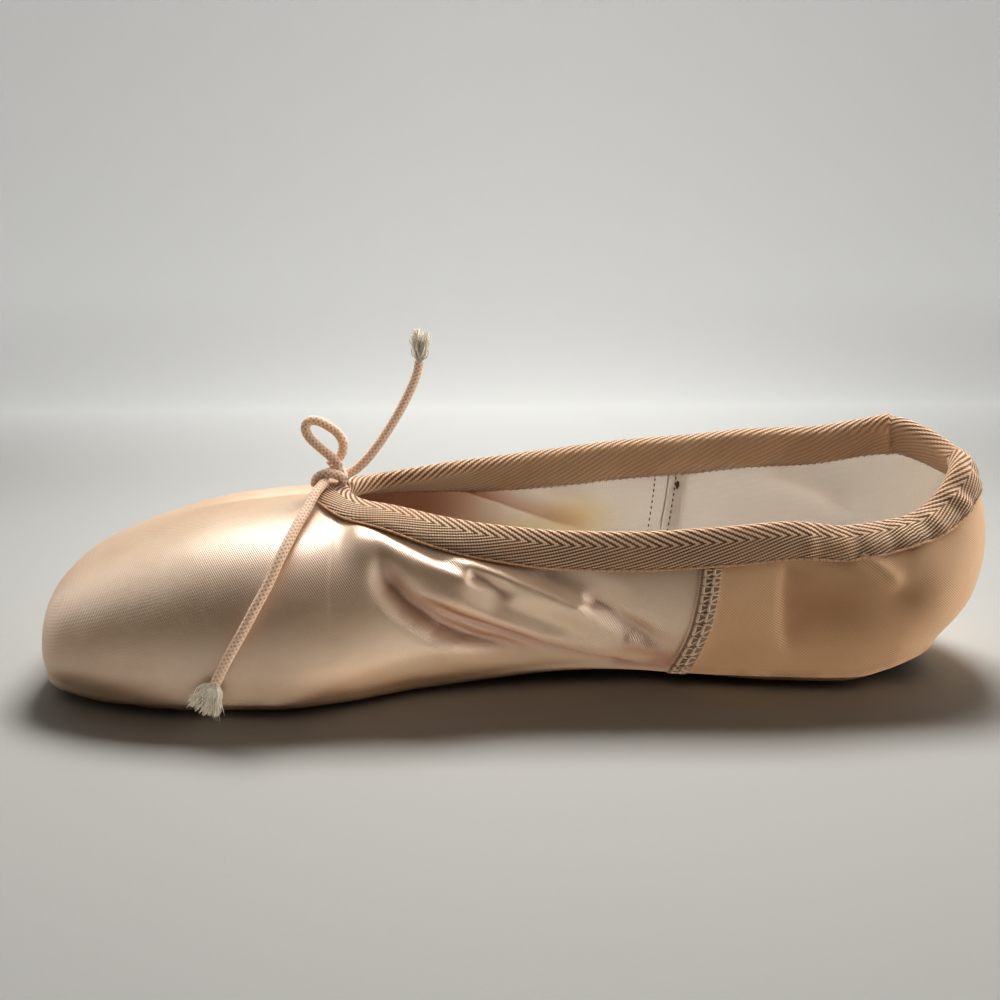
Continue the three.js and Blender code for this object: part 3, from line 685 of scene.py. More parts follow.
class Relief:
    """The creases and hollows of the upper: how far it stands off the last, and how much painted shade darkens its
    colour there.
    """

    def __init__(self, last: Last) -> None:
        """Takes the last that the creases lie on."""
        self.last = last

    def at(self, side: Side, at: Array, row: Array, points: Array) -> tuple[Array, Array]:
        """The relief at points of the upper.

        Args:
            side: The side of the shoe.
            at: Stations.
            row: Rows.
            points: The points of the last there.

        Returns:
            The heights off the last in millimetres, and the painted shade from nothing to one: how far the colour
            darkens toward a warm brown in creases and hollows.
        """
        x, y, z = points[..., 0], points[..., 1], points[..., 2]
        height = np.zeros(x.shape)
        warmth = np.zeros(x.shape)
        if side is Side.NEAR:
            place_along = self.last.toe_x + at * self.last.length
            in_front = ease((self.last.seam_x + 0.3 - place_along) / 0.8) * ease((place_along - self.last.throat_x) / 6)
            behind = ease((place_along - self.last.seam_x - self.last.seam_strip) / 4)
            for folds, where in ((WING_FOLDS, in_front), (HEEL_FOLDS, behind)):
                for fold in folds:
                    share = fold.share(x, z) * where
                    height += fold.height * share
                    warmth += fold.warmth * share
        else:
            for fold in FAR_FOLDS:
                share = fold.share(x, z)
                height += fold.height * share
                warmth += fold.warmth * share
        for dent in DENTS:
            share = dent.share(points)
            height += dent.height * share
            warmth += dent.warmth * share
        height *= 1 - ease((row - (self.last.top_row - 2.4)) / 1.6)
        height += self.pleats(x, y, row)
        return height, np.clip(warmth, 0, 1)

    def pleats(self, x: Array, y: Array, row: Array) -> Array:
        """The pleats that gather the satin under the toe, as a height off the last."""
        angle = np.arctan2(y, -(x - (self.last.sole_tip_x + 30)))
        wave = np.abs(np.sin(angle * 11 + 0.9 * np.sin(angle * 5)))
        under = ease((self.last.under_rows + 2.2 - row) / 1.6)
        front = ease((-62 - x) / 18)
        return 0.55 * (wave**0.5 - 0.75) * under * front

    def seam(self, at: Array, row: Array) -> Array:
        """Height of the overlocked strip of the side seam above the wall."""
        x = self.last.toe_x + at * self.last.length
        inside = ease((x - self.last.seam_x) / 0.5) * ease((self.last.seam_x + self.last.seam_strip - x) / 0.5)
        reach = ease((row - self.last.under_rows) / 0.5) * ease((self.last.top_row - 1.4 - row) / 0.8)
        return self.last.seam_raise * inside * reach


def stations(last: Last) -> Array:
    """Stations from the toe to the back of the heel, close together where the satin is creased."""
    tip = [last.tip_round * (i / 15) ** 1.7 for i in range(16)]
    places = [last.toe_x + distance for distance in tip]
    stretches = (
        (places[-1], last.throat_x, 1.25),
        (last.throat_x + last.throat_round, last.seam_x, 0.62),
        (last.seam_x, last.seam_x + last.seam_strip, 0.5),
        (last.seam_x + last.seam_strip, last.heel_x, 1.05),
    )
    for start, end, pitch in stretches:
        count = max(1, round((end - start) / pitch))
        places += [mix(start, end, i / count) for i in range(1, count + 1)]
        if end == last.throat_x:
            places += [last.throat_x + last.throat_round * (1 - math.cos(i / 16 * QUARTER)) for i in range(1, 17)]
    found = [last.station_of(x) for x in places]
    found += [mix(last.heel_at, 1.0, i / 44) for i in range(1, 45)]
    return np.array(found)


def rows(last: Last) -> Array:
    """Rows from the margin underneath to the collar."""
    under = np.arange(0, last.under_rows, 0.5)
    edge = np.arange(last.under_rows, last.under_rows + last.edge_rows, 0.5)
    side = np.linspace(last.under_rows + last.edge_rows, last.over_from, 19)[:-1]
    over = np.linspace(last.over_from, last.top_row, 46)
    return np.concatenate([under, edge, side, over])


class MeshMaker:
    """Collects vertices, faces, weave coordinates and values in plain arrays, and turns them into an object."""

    def __init__(self, name: str) -> None:
        """Names the piece."""
        self.name = name
        self.points: list[Array] = []
        self.faces: list[Array] = []
        self.kinds: list[Array] = []
        self.weave: list[Array] = []
        self.values: dict[str, list[Array]] = {}
        self.count = 0

    def add(self, points: Array, weave: Array | None = None, **values: Array) -> int:
        """Adds vertices.

        Args:
            points: Places in millimetres.
            weave: Two weave coordinates for each, in millimetres.
            values: Numbers for each vertex, by the name that a material reads.

        Returns:
            The first vertex's number.
        """
        flat = np.reshape(points, (-1, 3))
        first = self.count
        self.count += len(flat)
        self.points.append(flat)
        self.weave.append(np.zeros((len(flat), 2)) if weave is None else np.reshape(weave, (-1, 2)))
        for key, value in values.items():
            self.values.setdefault(key, []).append(np.broadcast_to(value, np.shape(points)[:-1]).reshape(-1))
        return first

    def grid(self, first: int, shape: tuple[int, int], flip: bool, kind: Array | int = 0, wrap: bool = False) -> None:
        """Adds the quads of a grid of vertices.

        Args:
            first: The grid's first vertex.
            shape: How many rows and columns it has.
            flip: Whether the faces turn the other way.
            kind: The material's number, for all or for each row of quads.
            wrap: Whether the last row joins the first.
        """
        n, m = shape
        i, j = np.meshgrid(np.arange(n if wrap else n - 1), np.arange(m - 1), indexing="ij")
        k = (i + 1) % n
        quads = np.stack([first + i * m + j, first + k * m + j, first + k * m + j + 1, first + i * m + j + 1], -1)
        quads = quads.reshape(-1, 4)
        self.faces.append(quads[:, ::-1] if flip else quads)
        self.kinds.append(np.broadcast_to(np.reshape(kind, (-1, 1)) if np.ndim(kind) else kind, i.shape).reshape(-1))

    def quads(self, faces: Array, kind: int = 0) -> None:
        """Adds quads by the numbers of their vertices."""
        self.faces.append(np.array(faces))
        self.kinds.append(np.full(len(faces), kind))

    def build(self, materials: Sequence[bpy.types.Material], weld: float = 0.0) -> bpy.types.Object:
        """Makes the object.

        Args:
            materials: The materials, in the order of the faces' kinds.
            weld: Vertices nearer than this, in millimetres, become one.

        Returns:
            The object, linked to the scene.
        """
        points = np.concatenate(self.points) * MM
        faces = np.concatenate(self.faces)
        kinds = np.concatenate(self.kinds)
        weave = np.concatenate(self.weave)
        values = {key: np.concatenate(found) for key, found in self.values.items()}
        if weld:
            keys = np.round(points / (weld * MM)).astype(np.int64)
            _, kept, index = np.unique(keys, axis=0, return_index=True, return_inverse=True)
            corners = np.reshape(index, -1)[faces]
            flat = np.array([len(set(face)) > 2 for face in corners.tolist()])
            loops = weave[faces][flat]
            points, faces, kinds = points[kept], corners[flat], kinds[flat]
            values = {key: value[kept] for key, value in values.items()}
        else:
            loops = weave[faces]
        mesh = bpy.data.meshes.new(self.name)
        lists = [list(dict.fromkeys(face)) for face in faces.tolist()]
        mesh.from_pydata(points.tolist(), [], lists)
        layer = mesh.uv_layers.new(name="weave")
        spots: list[float] = []
        for face, used, spot in zip(faces.tolist(), lists, loops.tolist()):
            for corner in used:
                spots += spot[face.index(corner)]
        layer.uv.foreach_set("vector", spots)
        for key, value in values.items():
            mesh.attributes.new(key, "FLOAT", "POINT").data.foreach_set("value", value.astype(np.float32))
        mesh.polygons.foreach_set("material_index", kinds.astype(np.int32))
        mesh.shade_smooth()
        for material in materials:
            mesh.materials.append(material)
        mesh.update()
        thing = bpy.data.objects.new(self.name, mesh)
        bpy.context.scene.collection.objects.link(thing)
        return thing


def place(thing: bpy.types.Object, slot: str, *nodes: str) -> bpy.types.Object:
    """Puts a piece on the shoe's body, in a finish's slot, in the place of CAD nodes.

    Args:
        thing: The piece.
        slot: The record's material slot.
        nodes: The CAD nodes that it stands for.

    Returns:
        The piece.
    """
    if nodes:
        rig.replaces(thing, *nodes)
    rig.slot(thing, slot)
    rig.ride(thing, BODY)
    LOG.info("%s: %d faces", thing.name, len(thing.data.polygons))
    return thing


class Graph:
    """A material's node tree, with short calls for its nodes and links."""

    def __init__(self, name: str) -> None:
        """Makes the material with its shader."""
        self.material = bpy.data.materials.new(name)
        self.material.use_nodes = True
        self.nodes = self.material.node_tree.nodes
        self.links = self.material.node_tree.links
        self.shader = self.nodes["Principled BSDF"]

    def node(self, kind: str, **settings: object) -> bpy.types.Node:
        """Adds a node, with settings by the names of its own properties."""
        made = self.nodes.new("ShaderNode" + kind)
        for key, value in settings.items():
            setattr(made, key, value)
        return made

    def feed(self, node: bpy.types.Node, socket: str | int, value: object) -> None:
        """Links a socket of another node to an input, or sets it to a plain value."""
        if isinstance(value, bpy.types.NodeSocket):
            self.links.new(value, node.inputs[socket])
        else:
            node.inputs[socket].default_value = value

    def math(self, operation: str, a: object, b: object = 0.0, c: object = 0.0) -> bpy.types.NodeSocket:
        """One arithmetic step on numbers or sockets."""
        made = self.node("Math", operation=operation)
        for i, value in enumerate((a, b, c)):
            self.feed(made, i, value)
        return made.outputs[0]

    def blend(self, share: object, a: object, b: object, kind: str = "MIX") -> bpy.types.NodeSocket:
        """Mixes two colours."""
        made = self.node("Mix", data_type="RGBA", blend_type=kind)
        self.feed(made, 0, share)
        self.feed(made, 6, (*a, 1.0) if isinstance(a, tuple) else a)
        self.feed(made, 7, (*b, 1.0) if isinstance(b, tuple) else b)
        return made.outputs[2]

    def value(self, name: str) -> bpy.types.NodeSocket:
        """Reads a number that the mesh carries."""
        return self.node("Attribute", attribute_name=name).outputs["Fac"]

    def weave(self) -> tuple[bpy.types.NodeSocket, bpy.types.NodeSocket]:
        """The two weave coordinates, in millimetres."""
        split = self.node("SeparateXYZ")
        self.feed(split, 0, self.node("UVMap", uv_map="weave").outputs[0])
        return split.outputs[0], split.outputs[1]

    def noise(self, scale: float, detail: float = 3.0, coordinates: object = None) -> bpy.types.NodeSocket:
        """Soft noise over the object, with scale in features per metre."""
        made = self.node("TexNoise")
        where = coordinates or self.node("TexCoord").outputs["Object"]
        self.feed(made, "Vector", where)
        self.feed(made, "Scale", scale)
        self.feed(made, "Detail", detail)
        return made.outputs["Fac"]

    def ramp(self, value: object, low: float, high: float) -> bpy.types.NodeSocket:
        """Spreads a number from low to high over nothing to one, smoothly."""
        made = self.node("MapRange", interpolation_type="SMOOTHSTEP")
        self.feed(made, "Value", value)
        self.feed(made, "From Min", low)
        self.feed(made, "From Max", high)
        return made.outputs[0]

    def bump(self, height: object, distance: float, below: object = None) -> bpy.types.NodeSocket:
        """Turns a height into a normal, with distance in millimetres."""
        made = self.node("Bump")
        self.feed(made, "Height", height)
        self.feed(made, "Distance", distance * MM)
        if below is not None:
            self.feed(made, "Normal", below)
        return made.outputs[0]

    def finish(self, colour: object, roughness: object, normal: object = None, **plain: object) -> bpy.types.Material:
        """Sets the shader.

        Args:
            colour: The base colour, a socket or a plain colour.
            roughness: The roughness, a socket or a number.
            normal: The bumped normal.
            plain: Plain values for other inputs, with spaces written as underscores.

        Returns:
            The material.
        """
        self.feed(self.shader, "Base Color", (*colour, 1.0) if isinstance(colour, tuple) else colour)
        self.feed(self.shader, "Roughness", roughness)
        if normal is not None:
            self.feed(self.shader, "Normal", normal)
        for key, value in plain.items():
            self.feed(self.shader, key.replace("_", " ").title().replace("Ior", "IOR"), value)
        return self.material


def stripes(graph: Graph, phase: object) -> bpy.types.NodeSocket:
    """A rounded ripple from nothing to one, once for each whole number of the phase."""
    return graph.math("MULTIPLY_ADD", graph.math("SINE", graph.math("MULTIPLY", phase, 2 * math.pi)), 0.5, 0.5)


@dataclass(frozen=True)
class Satin:
    """Glossy satin with fine slanting floats, painted with warm dark shade in its folds and hollows, and a little
    soiled at the foot.
    """

    body: Colour = linear(217, 177, 134)
    pale: Colour = linear(226, 194, 155)
    # The warm brown of the painted shade in folds and hollows.
    warm: Colour = linear(184, 106, 36)
    soil: Colour = linear(150, 118, 92)
    float_pitch: float = 0.5
    roughness: float = 0.42

    def build(self) -> bpy.types.Material:
        """Makes the material."""
        g = Graph("satin")
        u, v = g.weave()
        slant = g.math("DIVIDE", g.math("MULTIPLY_ADD", u, 0.9, g.math("MULTIPLY", v, 0.62)), self.float_pitch)
        floats = stripes(g, slant)
        cross = stripes(g, g.math("DIVIDE", g.math("MULTIPLY_ADD", v, 0.9, g.math("MULTIPLY", u, -0.3)), 0.8))
        cloud = g.noise(28.0, 4.0)
        colour = g.blend(g.ramp(cloud, 0.35, 0.7), self.body, self.pale)
        # Painted shade: creases and hollows darken toward a warm brown.
        colour = g.blend(g.ramp(g.value("warmth"), 0.0, 0.9), colour, self.warm)
        dirt = g.math("MULTIPLY", g.ramp(g.value("soil"), 0.2, 1.0), g.ramp(g.noise(160.0, 5.0), 0.35, 0.75))
        colour = g.blend(g.math("MULTIPLY", dirt, 0.6), colour, self.soil)
        colour = g.blend(g.math("MULTIPLY", floats, 0.36), colour, linear(150, 108, 76))
        rough = g.math("MULTIPLY_ADD", g.noise(220.0), 0.12, self.roughness - 0.06)
        thread = g.bump(g.math("MULTIPLY_ADD", cross, 0.35, floats), 0.05)
        soft = g.bump(g.noise(90.0, 2.0), 0.16, thread)
        return g.finish(colour, rough, soft, metallic=0.14, ior=3.8, sheen_weight=0.05)


@dataclass(frozen=True)
class Twill:
    """Matt cotton twill of the heel, with diagonals that fall toward the heel."""

    body: Colour = linear(240, 204, 166)
    shade: Colour = linear(186, 138, 98)
    pitch: float = 0.5

    def build(self) -> bpy.types.Material:
        """Makes the material."""
        g = Graph("heel_twill")
        u, v = g.weave()
        wale = stripes(g, g.math("DIVIDE", g.math("MULTIPLY_ADD", u, 0.62, g.math("MULTIPLY", v, 0.78)), self.pitch))
        pick = stripes(g, g.math("DIVIDE", v, 0.4))
        colour = g.blend(g.math("MULTIPLY", wale, 0.5), self.body, self.shade)
        colour = g.blend(g.math("MULTIPLY", g.ramp(g.noise(35.0, 4.0), 0.4, 0.75), 0.3), colour, linear(228, 188, 146))
        # Painted shade: the heel's hollows and folds darken toward brown.
        colour = g.blend(g.math("MULTIPLY", g.value("warmth"), 0.9), colour, linear(150, 98, 56))
        dirt = g.math("MULTIPLY", g.ramp(g.value("soil"), 0.3, 1.0), g.ramp(g.noise(140.0, 5.0), 0.4, 0.7))
        colour = g.blend(g.math("MULTIPLY", dirt, 0.4), colour, linear(140, 108, 84))
        thread = g.bump(g.math("MULTIPLY_ADD", pick, 0.3, g.math("SUBTRACT", 1.0, wale)), 0.05)
        return g.finish(colour, 0.62, g.bump(g.noise(120.0, 2.0), 0.3, thread), specular_ior_level=0.35, sheen_weight=0.3)


@dataclass(frozen=True)
class Overlock:
    """The grey-beige seam allowance, packed with overlock thread."""

    body: Colour = linear(170, 142, 116)
    gap: Colour = linear(108, 70, 42)

    def build(self) -> bpy.types.Material:
        """Makes the material."""
        g = Graph("overlock_strip")
        u, v = g.weave()
        legs = stripes(g, g.math("DIVIDE", v, 0.66))
        colour = g.blend(g.math("MULTIPLY", g.ramp(legs, 0.3, 0.95), 0.55), self.body, self.gap)
        colour = g.blend(g.math("MULTIPLY", g.noise(900.0, 3.0), 0.3), colour, linear(206, 186, 168))
        return g.finish(colour, 0.8, g.bump(g.math("SUBTRACT", 1.0, legs), 0.12), sheen_weight=0.2)


@dataclass(frozen=True)
class Canvas:
    """The off-white cotton lining, with a glue stain, a faint blotchy tone, and painted shade along its far folds and
    toward the toe.
    """

    body: Colour = linear(247, 244, 242)
    shade: Colour = linear(230, 223, 216)
    glue: Colour = linear(222, 196, 138)
    pitch: float = 0.55

    def build(self) -> bpy.types.Material:
        """Makes the material."""
        g = Graph("canvas_lining")
        u, v = g.weave()
        warp = stripes(g, g.math("DIVIDE", u, self.pitch))
        weft = stripes(g, g.math("DIVIDE", v, self.pitch))
        cloth = g.math("MULTIPLY", warp, weft)
        colour = g.blend(g.math("MULTIPLY", g.ramp(cloth, 0.0, 0.5), 0.35), self.shade, self.body)
        colour = g.blend(g.math("MULTIPLY", g.ramp(g.noise(30.0, 4.0), 0.42, 0.8), 0.25), colour, linear(238, 220, 198))
        colour = g.blend(g.math("MULTIPLY", g.value("stain"), 0.55), colour, self.glue)
        # Painted shade: the lining darkens toward brown along the far folds and toward the toe.
        colour = g.blend(g.math("MULTIPLY", g.value("warmth"), 0.85), colour, linear(156, 110, 76))
        thin = {"subsurface_weight": 0.8, "subsurface_scale": 0.004, "subsurface_radius": (1.0, 0.98, 0.94)}
        return g.finish(colour, 0.85, g.bump(cloth, 0.08), specular_ior_level=0.25, sheen_weight=0.25, **thin)


@dataclass(frozen=True)
class Herringbone:
    """Twill tape whose wales meet in a chevron, with pale threads and painted shade in the gaps between them, dark
    outside and paler inside.
    """

    thread: Colour = linear(246, 214, 184)
    # The painted shade between the threads on the outside face.
    gap: Colour = linear(130, 80, 48)
    # The paler gaps of the inside face: painted light, as if the tape were lit through from behind.
    inner_gap: Colour = linear(228, 180, 142)
    wale_pitch: float = 0.76
    slope: float = 0.3
    apex: float = 5.9

    def build(self) -> bpy.types.Material:
        """Makes the material."""
        g = Graph("herringbone_tape")
        u, v = g.weave()
        below = g.math("LESS_THAN", v, self.apex)
        down = g.math("SUBTRACT", self.apex, v)
        up = g.math("MULTIPLY", g.math("SUBTRACT", v, self.apex), 0.55)
        off = g.math("ADD", g.math("MULTIPLY", down, below), g.math("MULTIPLY", up, g.math("SUBTRACT", 1.0, below)))
        phase = g.math("DIVIDE", g.math("MULTIPLY_ADD", u, self.slope, off), self.wale_pitch)
        wale = stripes(g, phase)
        bead = stripes(g, g.math("DIVIDE", g.math("MULTIPLY_ADD", v, 0.35, u), 0.66))
        height = g.math("MULTIPLY_ADD", g.math("MULTIPLY", bead, 0.6), wale, g.math("MULTIPLY", wale, 0.5))
        shown = g.ramp(height, 0.1, 0.6)
        # Painted shade in the gaps between threads, made paler on the inside face as painted light through the tape.
        gap = g.blend(g.value("inside"), self.gap, self.inner_gap)
        colour = g.blend(shown, gap, self.thread)
        colour = g.blend(g.math("MULTIPLY", g.ramp(g.noise(60.0, 3.0), 0.4, 0.7), 0.25), colour, linear(206, 160, 128))
        thin = {"subsurface_weight": 0.7, "subsurface_scale": 0.004, "subsurface_radius": (1.0, 0.85, 0.7)}
        return g.finish(
            colour, 0.66, g.bump(height, 0.22), specular_ior_level=0.35, sheen_weight=0.3, sheen_roughness=0.4, **thin
        )


@dataclass(frozen=True)
class SoleLeather:
    """Brown split leather, buffed pale where it walks and darker along its edge."""

    body: Colour = linear(112, 74, 50)
    worn: Colour = linear(150, 110, 82)
    edge: Colour = linear(58, 36, 26)

    def build(self) -> bpy.types.Material:
        """Makes the material."""
        g = Graph("sole_leather")
        split = g.node("SeparateXYZ")
        g.feed(split, 0, g.node("TexCoord").outputs["Object"])
        low = g.ramp(split.outputs[2], 0.0026, 0.0002)
        scuff = g.math("MULTIPLY", g.ramp(g.noise(70.0, 6.0), 0.42, 0.66), low)
        colour = g.blend(low, self.edge, self.body)
        colour = g.blend(g.math("MULTIPLY", scuff, 0.7), colour, self.worn)
        grain = g.node("TexVoronoi")
        g.feed(grain, "Vector", g.node("TexCoord").outputs["Object"])
        g.feed(grain, "Scale", 1400.0)
        height = g.math("ADD", grain.outputs["Distance"], g.noise(600.0, 4.0))
        return g.finish(colour, 0.78, g.bump(height, 0.12), specular_ior_level=0.3)


@dataclass(frozen=True)
class Cotton:
    """Plain thread: stitches, the braided cord and its frayed fibres."""

    name: str
    body: Colour
    shade: Colour
    roughness: float = 0.75
    translucence: float = 0.0

    def build(self) -> bpy.types.Material:
        """Makes the material."""
        g = Graph(self.name)
        # Painted shade: the depth value darkens the braid's grooves toward the shade colour.
        deep = g.value("depth")
        colour = g.blend(g.ramp(deep, 0.0, 1.0), self.body, self.shade)
        colour = g.blend(g.math("MULTIPLY", g.noise(700.0, 3.0), 0.22), colour, self.shade)
        fibre = g.bump(g.noise(2600.0, 2.0), 0.05)
        thin = {"subsurface_weight": self.translucence, "subsurface_scale": 0.003, "subsurface_radius": (1.0, 0.96, 0.9)}
        return g.finish(
            colour, self.roughness, fibre, specular_ior_level=0.3, sheen_weight=0.35, sheen_roughness=0.4, **thin
        )


@dataclass(frozen=True)
class Paper:
    """The pale floor, and the backdrop that glows: an emission that rises toward the back paints light on it."""

    body: Colour = linear(214, 215, 214)
    glow: Colour = (0.42, 0.42, 0.415)

    def build(self) -> bpy.types.Material:
        """Makes the material."""
        g = Graph("pale_floor")
        colour = g.blend(g.math("MULTIPLY", g.noise(9.0, 4.0), 0.25), self.body, linear(204, 206, 206))
        split = g.node("SeparateXYZ")
        g.feed(split, 0, g.node("TexCoord").outputs["Object"])
        # Painted light: the floor behind the shoe and the backdrop glow, more toward the back.
        lit = g.blend(g.ramp(split.outputs[1], 0.16, 0.44), (0.0, 0.0, 0.0), self.glow)
        g.feed(g.shader, "Emission Color", lit)
        paper = g.bump(g.noise(300.0, 3.0), 0.05)
        return g.finish(colour, 0.7, paper, specular_ior_level=0.25, emission_strength=1.0)


def smooth_route(points: Sequence[Point], pitch: float) -> Array:
    """A smooth curve through points, as places a pitch apart.

    Args:
        points: The route's points, in millimetres.
        pitch: The distance between the places.

    Returns:
        The places along the curve.
    """
    p = np.array(points, float)
    p = np.vstack([2 * p[0] - p[1], p, 2 * p[-1] - p[-2]])
    knots = np.concatenate([[0], np.cumsum(np.sqrt(np.linalg.norm(np.diff(p, axis=0), axis=1)))])
    found = []
    for i in range(1, len(p) - 2):
        t = np.linspace(knots[i], knots[i + 1], 24, endpoint=False)[:, None]
        t0, t1, t2, t3 = knots[i - 1 : i + 3]
        a = (t1 - t) / (t1 - t0) * p[i - 1] + (t - t0) / (t1 - t0) * p[i]
        b = (t2 - t) / (t2 - t1) * p[i] + (t - t1) / (t2 - t1) * p[i + 1]
        c = (t3 - t) / (t3 - t2) * p[i + 1] + (t - t2) / (t3 - t2) * p[i + 2]
        d = (t2 - t) / (t2 - t0) * a + (t - t0) / (t2 - t0) * b
        e = (t3 - t) / (t3 - t1) * b + (t - t1) / (t3 - t1) * c
        found.append((t2 - t) / (t2 - t1) * d + (t - t1) / (t2 - t1) * e)
    line = np.vstack([*found, p[-2:-1]])
    run = np.concatenate([[0], np.cumsum(np.linalg.norm(np.diff(line, axis=0), axis=1))])
    even = np.linspace(0, run[-1], max(2, round(run[-1] / pitch) + 1))
    return np.stack([np.interp(even, run, line[:, k]) for k in range(3)], axis=-1)


def frames(line: Array) -> tuple[Array, Array, Array]:
    """Directions along and across a line that don't twist about it.

    Args:
        line: Places along the line.

    Returns:
        The direction along, and two across it.
    """
    along = unit(np.gradient(line, axis=0))
    first = np.cross(along[0], [0, 0, 1] if abs(along[0][2]) < 0.9 else [1, 0, 0])
    across = [first / np.linalg.norm(first)]
    for direction in along[1:]:
        moved = across[-1] - direction * np.dot(across[-1], direction)
        across.append(moved / np.linalg.norm(moved))
    first_across = np.array(across)
    return along, first_across, np.cross(along, first_across)


def sweep(maker: MeshMaker, line: Array, radius: Array | float, sides: int, braid: float = 0.0) -> None:
    """Adds a closed tube along a line, plain or braided.

    Args:
        maker: Where the mesh is collected.
        line: Places along the tube.
        radius: Its radius, for all or for each place.
        sides: How many sides it has.
        braid: How deep the braid is cut, as a share of the radius.
    """
    _, one, two = frames(line)
    run = np.concatenate([[0], np.cumsum(np.linalg.norm(np.diff(line, axis=0), axis=1))])[:, None]
    angle = np.linspace(0, 2 * math.pi, sides, endpoint=False)[None, :]
    size = np.broadcast_to(np.reshape(radius, (-1, 1)), (len(line), 1))
    left = np.sin(5 * angle + run * 5.4)
    right = np.sin(5 * angle - run * 5.4)
    strand = np.maximum(left, right)
    reach = size * (1 + braid * (strand - 0.6))
    points = line[:, None] + reach[..., None] * (
        np.cos(angle)[..., None] * one[:, None] + np.sin(angle)[..., None] * two[:, None]
    )
    # The depth value paints shade into the braid's grooves, where the strands dip.
    depth = np.clip(0.7 - strand, 0, 1) if braid else np.zeros(points.shape[:2])
    weave = np.stack(np.broadcast_arrays(run, angle * size), axis=-1)
    first = maker.add(points, weave, depth=depth)
    n = len(line)
    i, j = np.meshgrid(np.arange(n - 1), np.arange(sides), indexing="ij")
    k = (j + 1) % sides
    quads = np.stack([first + i * sides + j, first + i * sides + k, first + (i + 1) * sides + k, first + (i + 1) * sides + j], -1)
    maker.quads(quads.reshape(-1, 4))
    for ring, inward in ((0, True), (n - 1, False)):
        middle = maker.add(line[ring][None], np.zeros((1, 2)), depth=np.zeros(1))
        corners = [
            [middle, first + ring * sides + j, first + ring * sides + (j + 1) % sides, first + ring * sides + (j + 1) % sides]
            for j in range(sides)
        ]
        maker.quads([corner[:1] + corner[1:][::-1] if inward else corner for corner in corners])


# The drawstring's routes, in metres: the loop, the end over the vamp, and the end that springs up and back.
LOOP_ROUTE: tuple[Point, ...] = (
    (-0.0460, 0.0002, 0.0513),
    (-0.0454, 0.0002, 0.0521),
    (-0.0459, 0.0002, 0.0531),
    (-0.0472, 0.0003, 0.0544),
    (-0.0501, 0.0005, 0.0570),
    (-0.0527, 0.0008, 0.0598),
    (-0.0533, 0.0012, 0.0620),
    (-0.0522, 0.0016, 0.0633),
    (-0.0502, 0.0019, 0.0632),
    (-0.0477, 0.0023, 0.0618),
    (-0.0456, 0.0027, 0.0600),
    (-0.0444, 0.0031, 0.0576),
    (-0.0445, 0.0033, 0.0552),
    (-0.0456, 0.0034, 0.0533),
    (-0.0473, 0.0033, 0.0522),
    (-0.0482, 0.0031, 0.0514),
)
FRONT_ROUTE: tuple[Point, ...] = (
    (-0.0487, -0.0044, 0.0486),
    (-0.0499, -0.0100, 0.0475),
    (-0.0511, -0.0154, 0.0452),
    (-0.0524, -0.0205, 0.0432),
    (-0.0549, -0.0286, 0.0384),
    (-0.0578, -0.0340, 0.0323),
    (-0.0604, -0.0368, 0.0278),
    (-0.0630, -0.0382, 0.0232),
    (-0.0667, -0.0390, 0.0170),
    (-0.0699, -0.0392, 0.0110),
)
BACK_ROUTE: tuple[Point, ...] = (
    (-0.0444, 0.0033, 0.0489),
    (-0.0433, 0.0038, 0.0491),
    (-0.0416, 0.0044, 0.0499),
    (-0.0392, 0.0052, 0.0519),
    (-0.0362, 0.0069, 0.0553),
    (-0.0332, 0.0088, 0.0594),
    (-0.0302, 0.0110, 0.0640),
    (-0.0275, 0.0132, 0.0690),
    (-0.0257, 0.0150, 0.0733),
    (-0.0252, 0.0159, 0.0758),
)
KNOT_WRAPS: tuple[tuple[Point, ...], ...] = (
    ((-51.3, -1.2, 47.4), (-50.9, -1.9, 49.0), (-49.4, -2.4, 50.3), (-47.2, -2.4, 50.6), (-45.0, -1.8, 49.9), (-43.9, -0.8, 48.2)),
    ((-50.4, 1.2, 48.2), (-49.6, -0.6, 49.0), (-48.6, -2.6, 48.8), (-48.5, -4.6, 48.4)),
    ((-50.2, 1.8, 48.4), (-48.4, 2.6, 49.6), (-46.0, 2.2, 50.0), (-44.4, 0.8, 49.4), (-44.0, -1.6, 48.4)),
    ((-46.4, -0.6, 49.6), (-45.6, 0.8, 50.0), (-45.4, 2.0, 49.4), (-44.6, 3.0, 48.9)),
)


@dataclass(frozen=True)
class CameraView:
    """The camera at the photograph's angle to the shoe."""

    place: Point = (-0.0044, -0.258, 0.119)
    pitch: float = 16.5
    roll: float = -0.5
    lens: float = 37.8

    def build(self) -> None:
        """Makes the camera and hands it to the scene."""
        data = bpy.data.cameras.new("camera")
        data.lens = self.lens
        data.sensor_width = 36.0
        data.clip_start = 0.005
        camera = bpy.data.objects.new("camera", data)
        turn = Matrix.Rotation(math.radians(90 - self.pitch), 4, "X") @ Matrix.Rotation(math.radians(self.roll), 4, "Z")
        camera.matrix_world = Matrix.Translation(self.place) @ turn
        bpy.context.scene.collection.objects.link(camera)
        bpy.context.scene.camera = camera


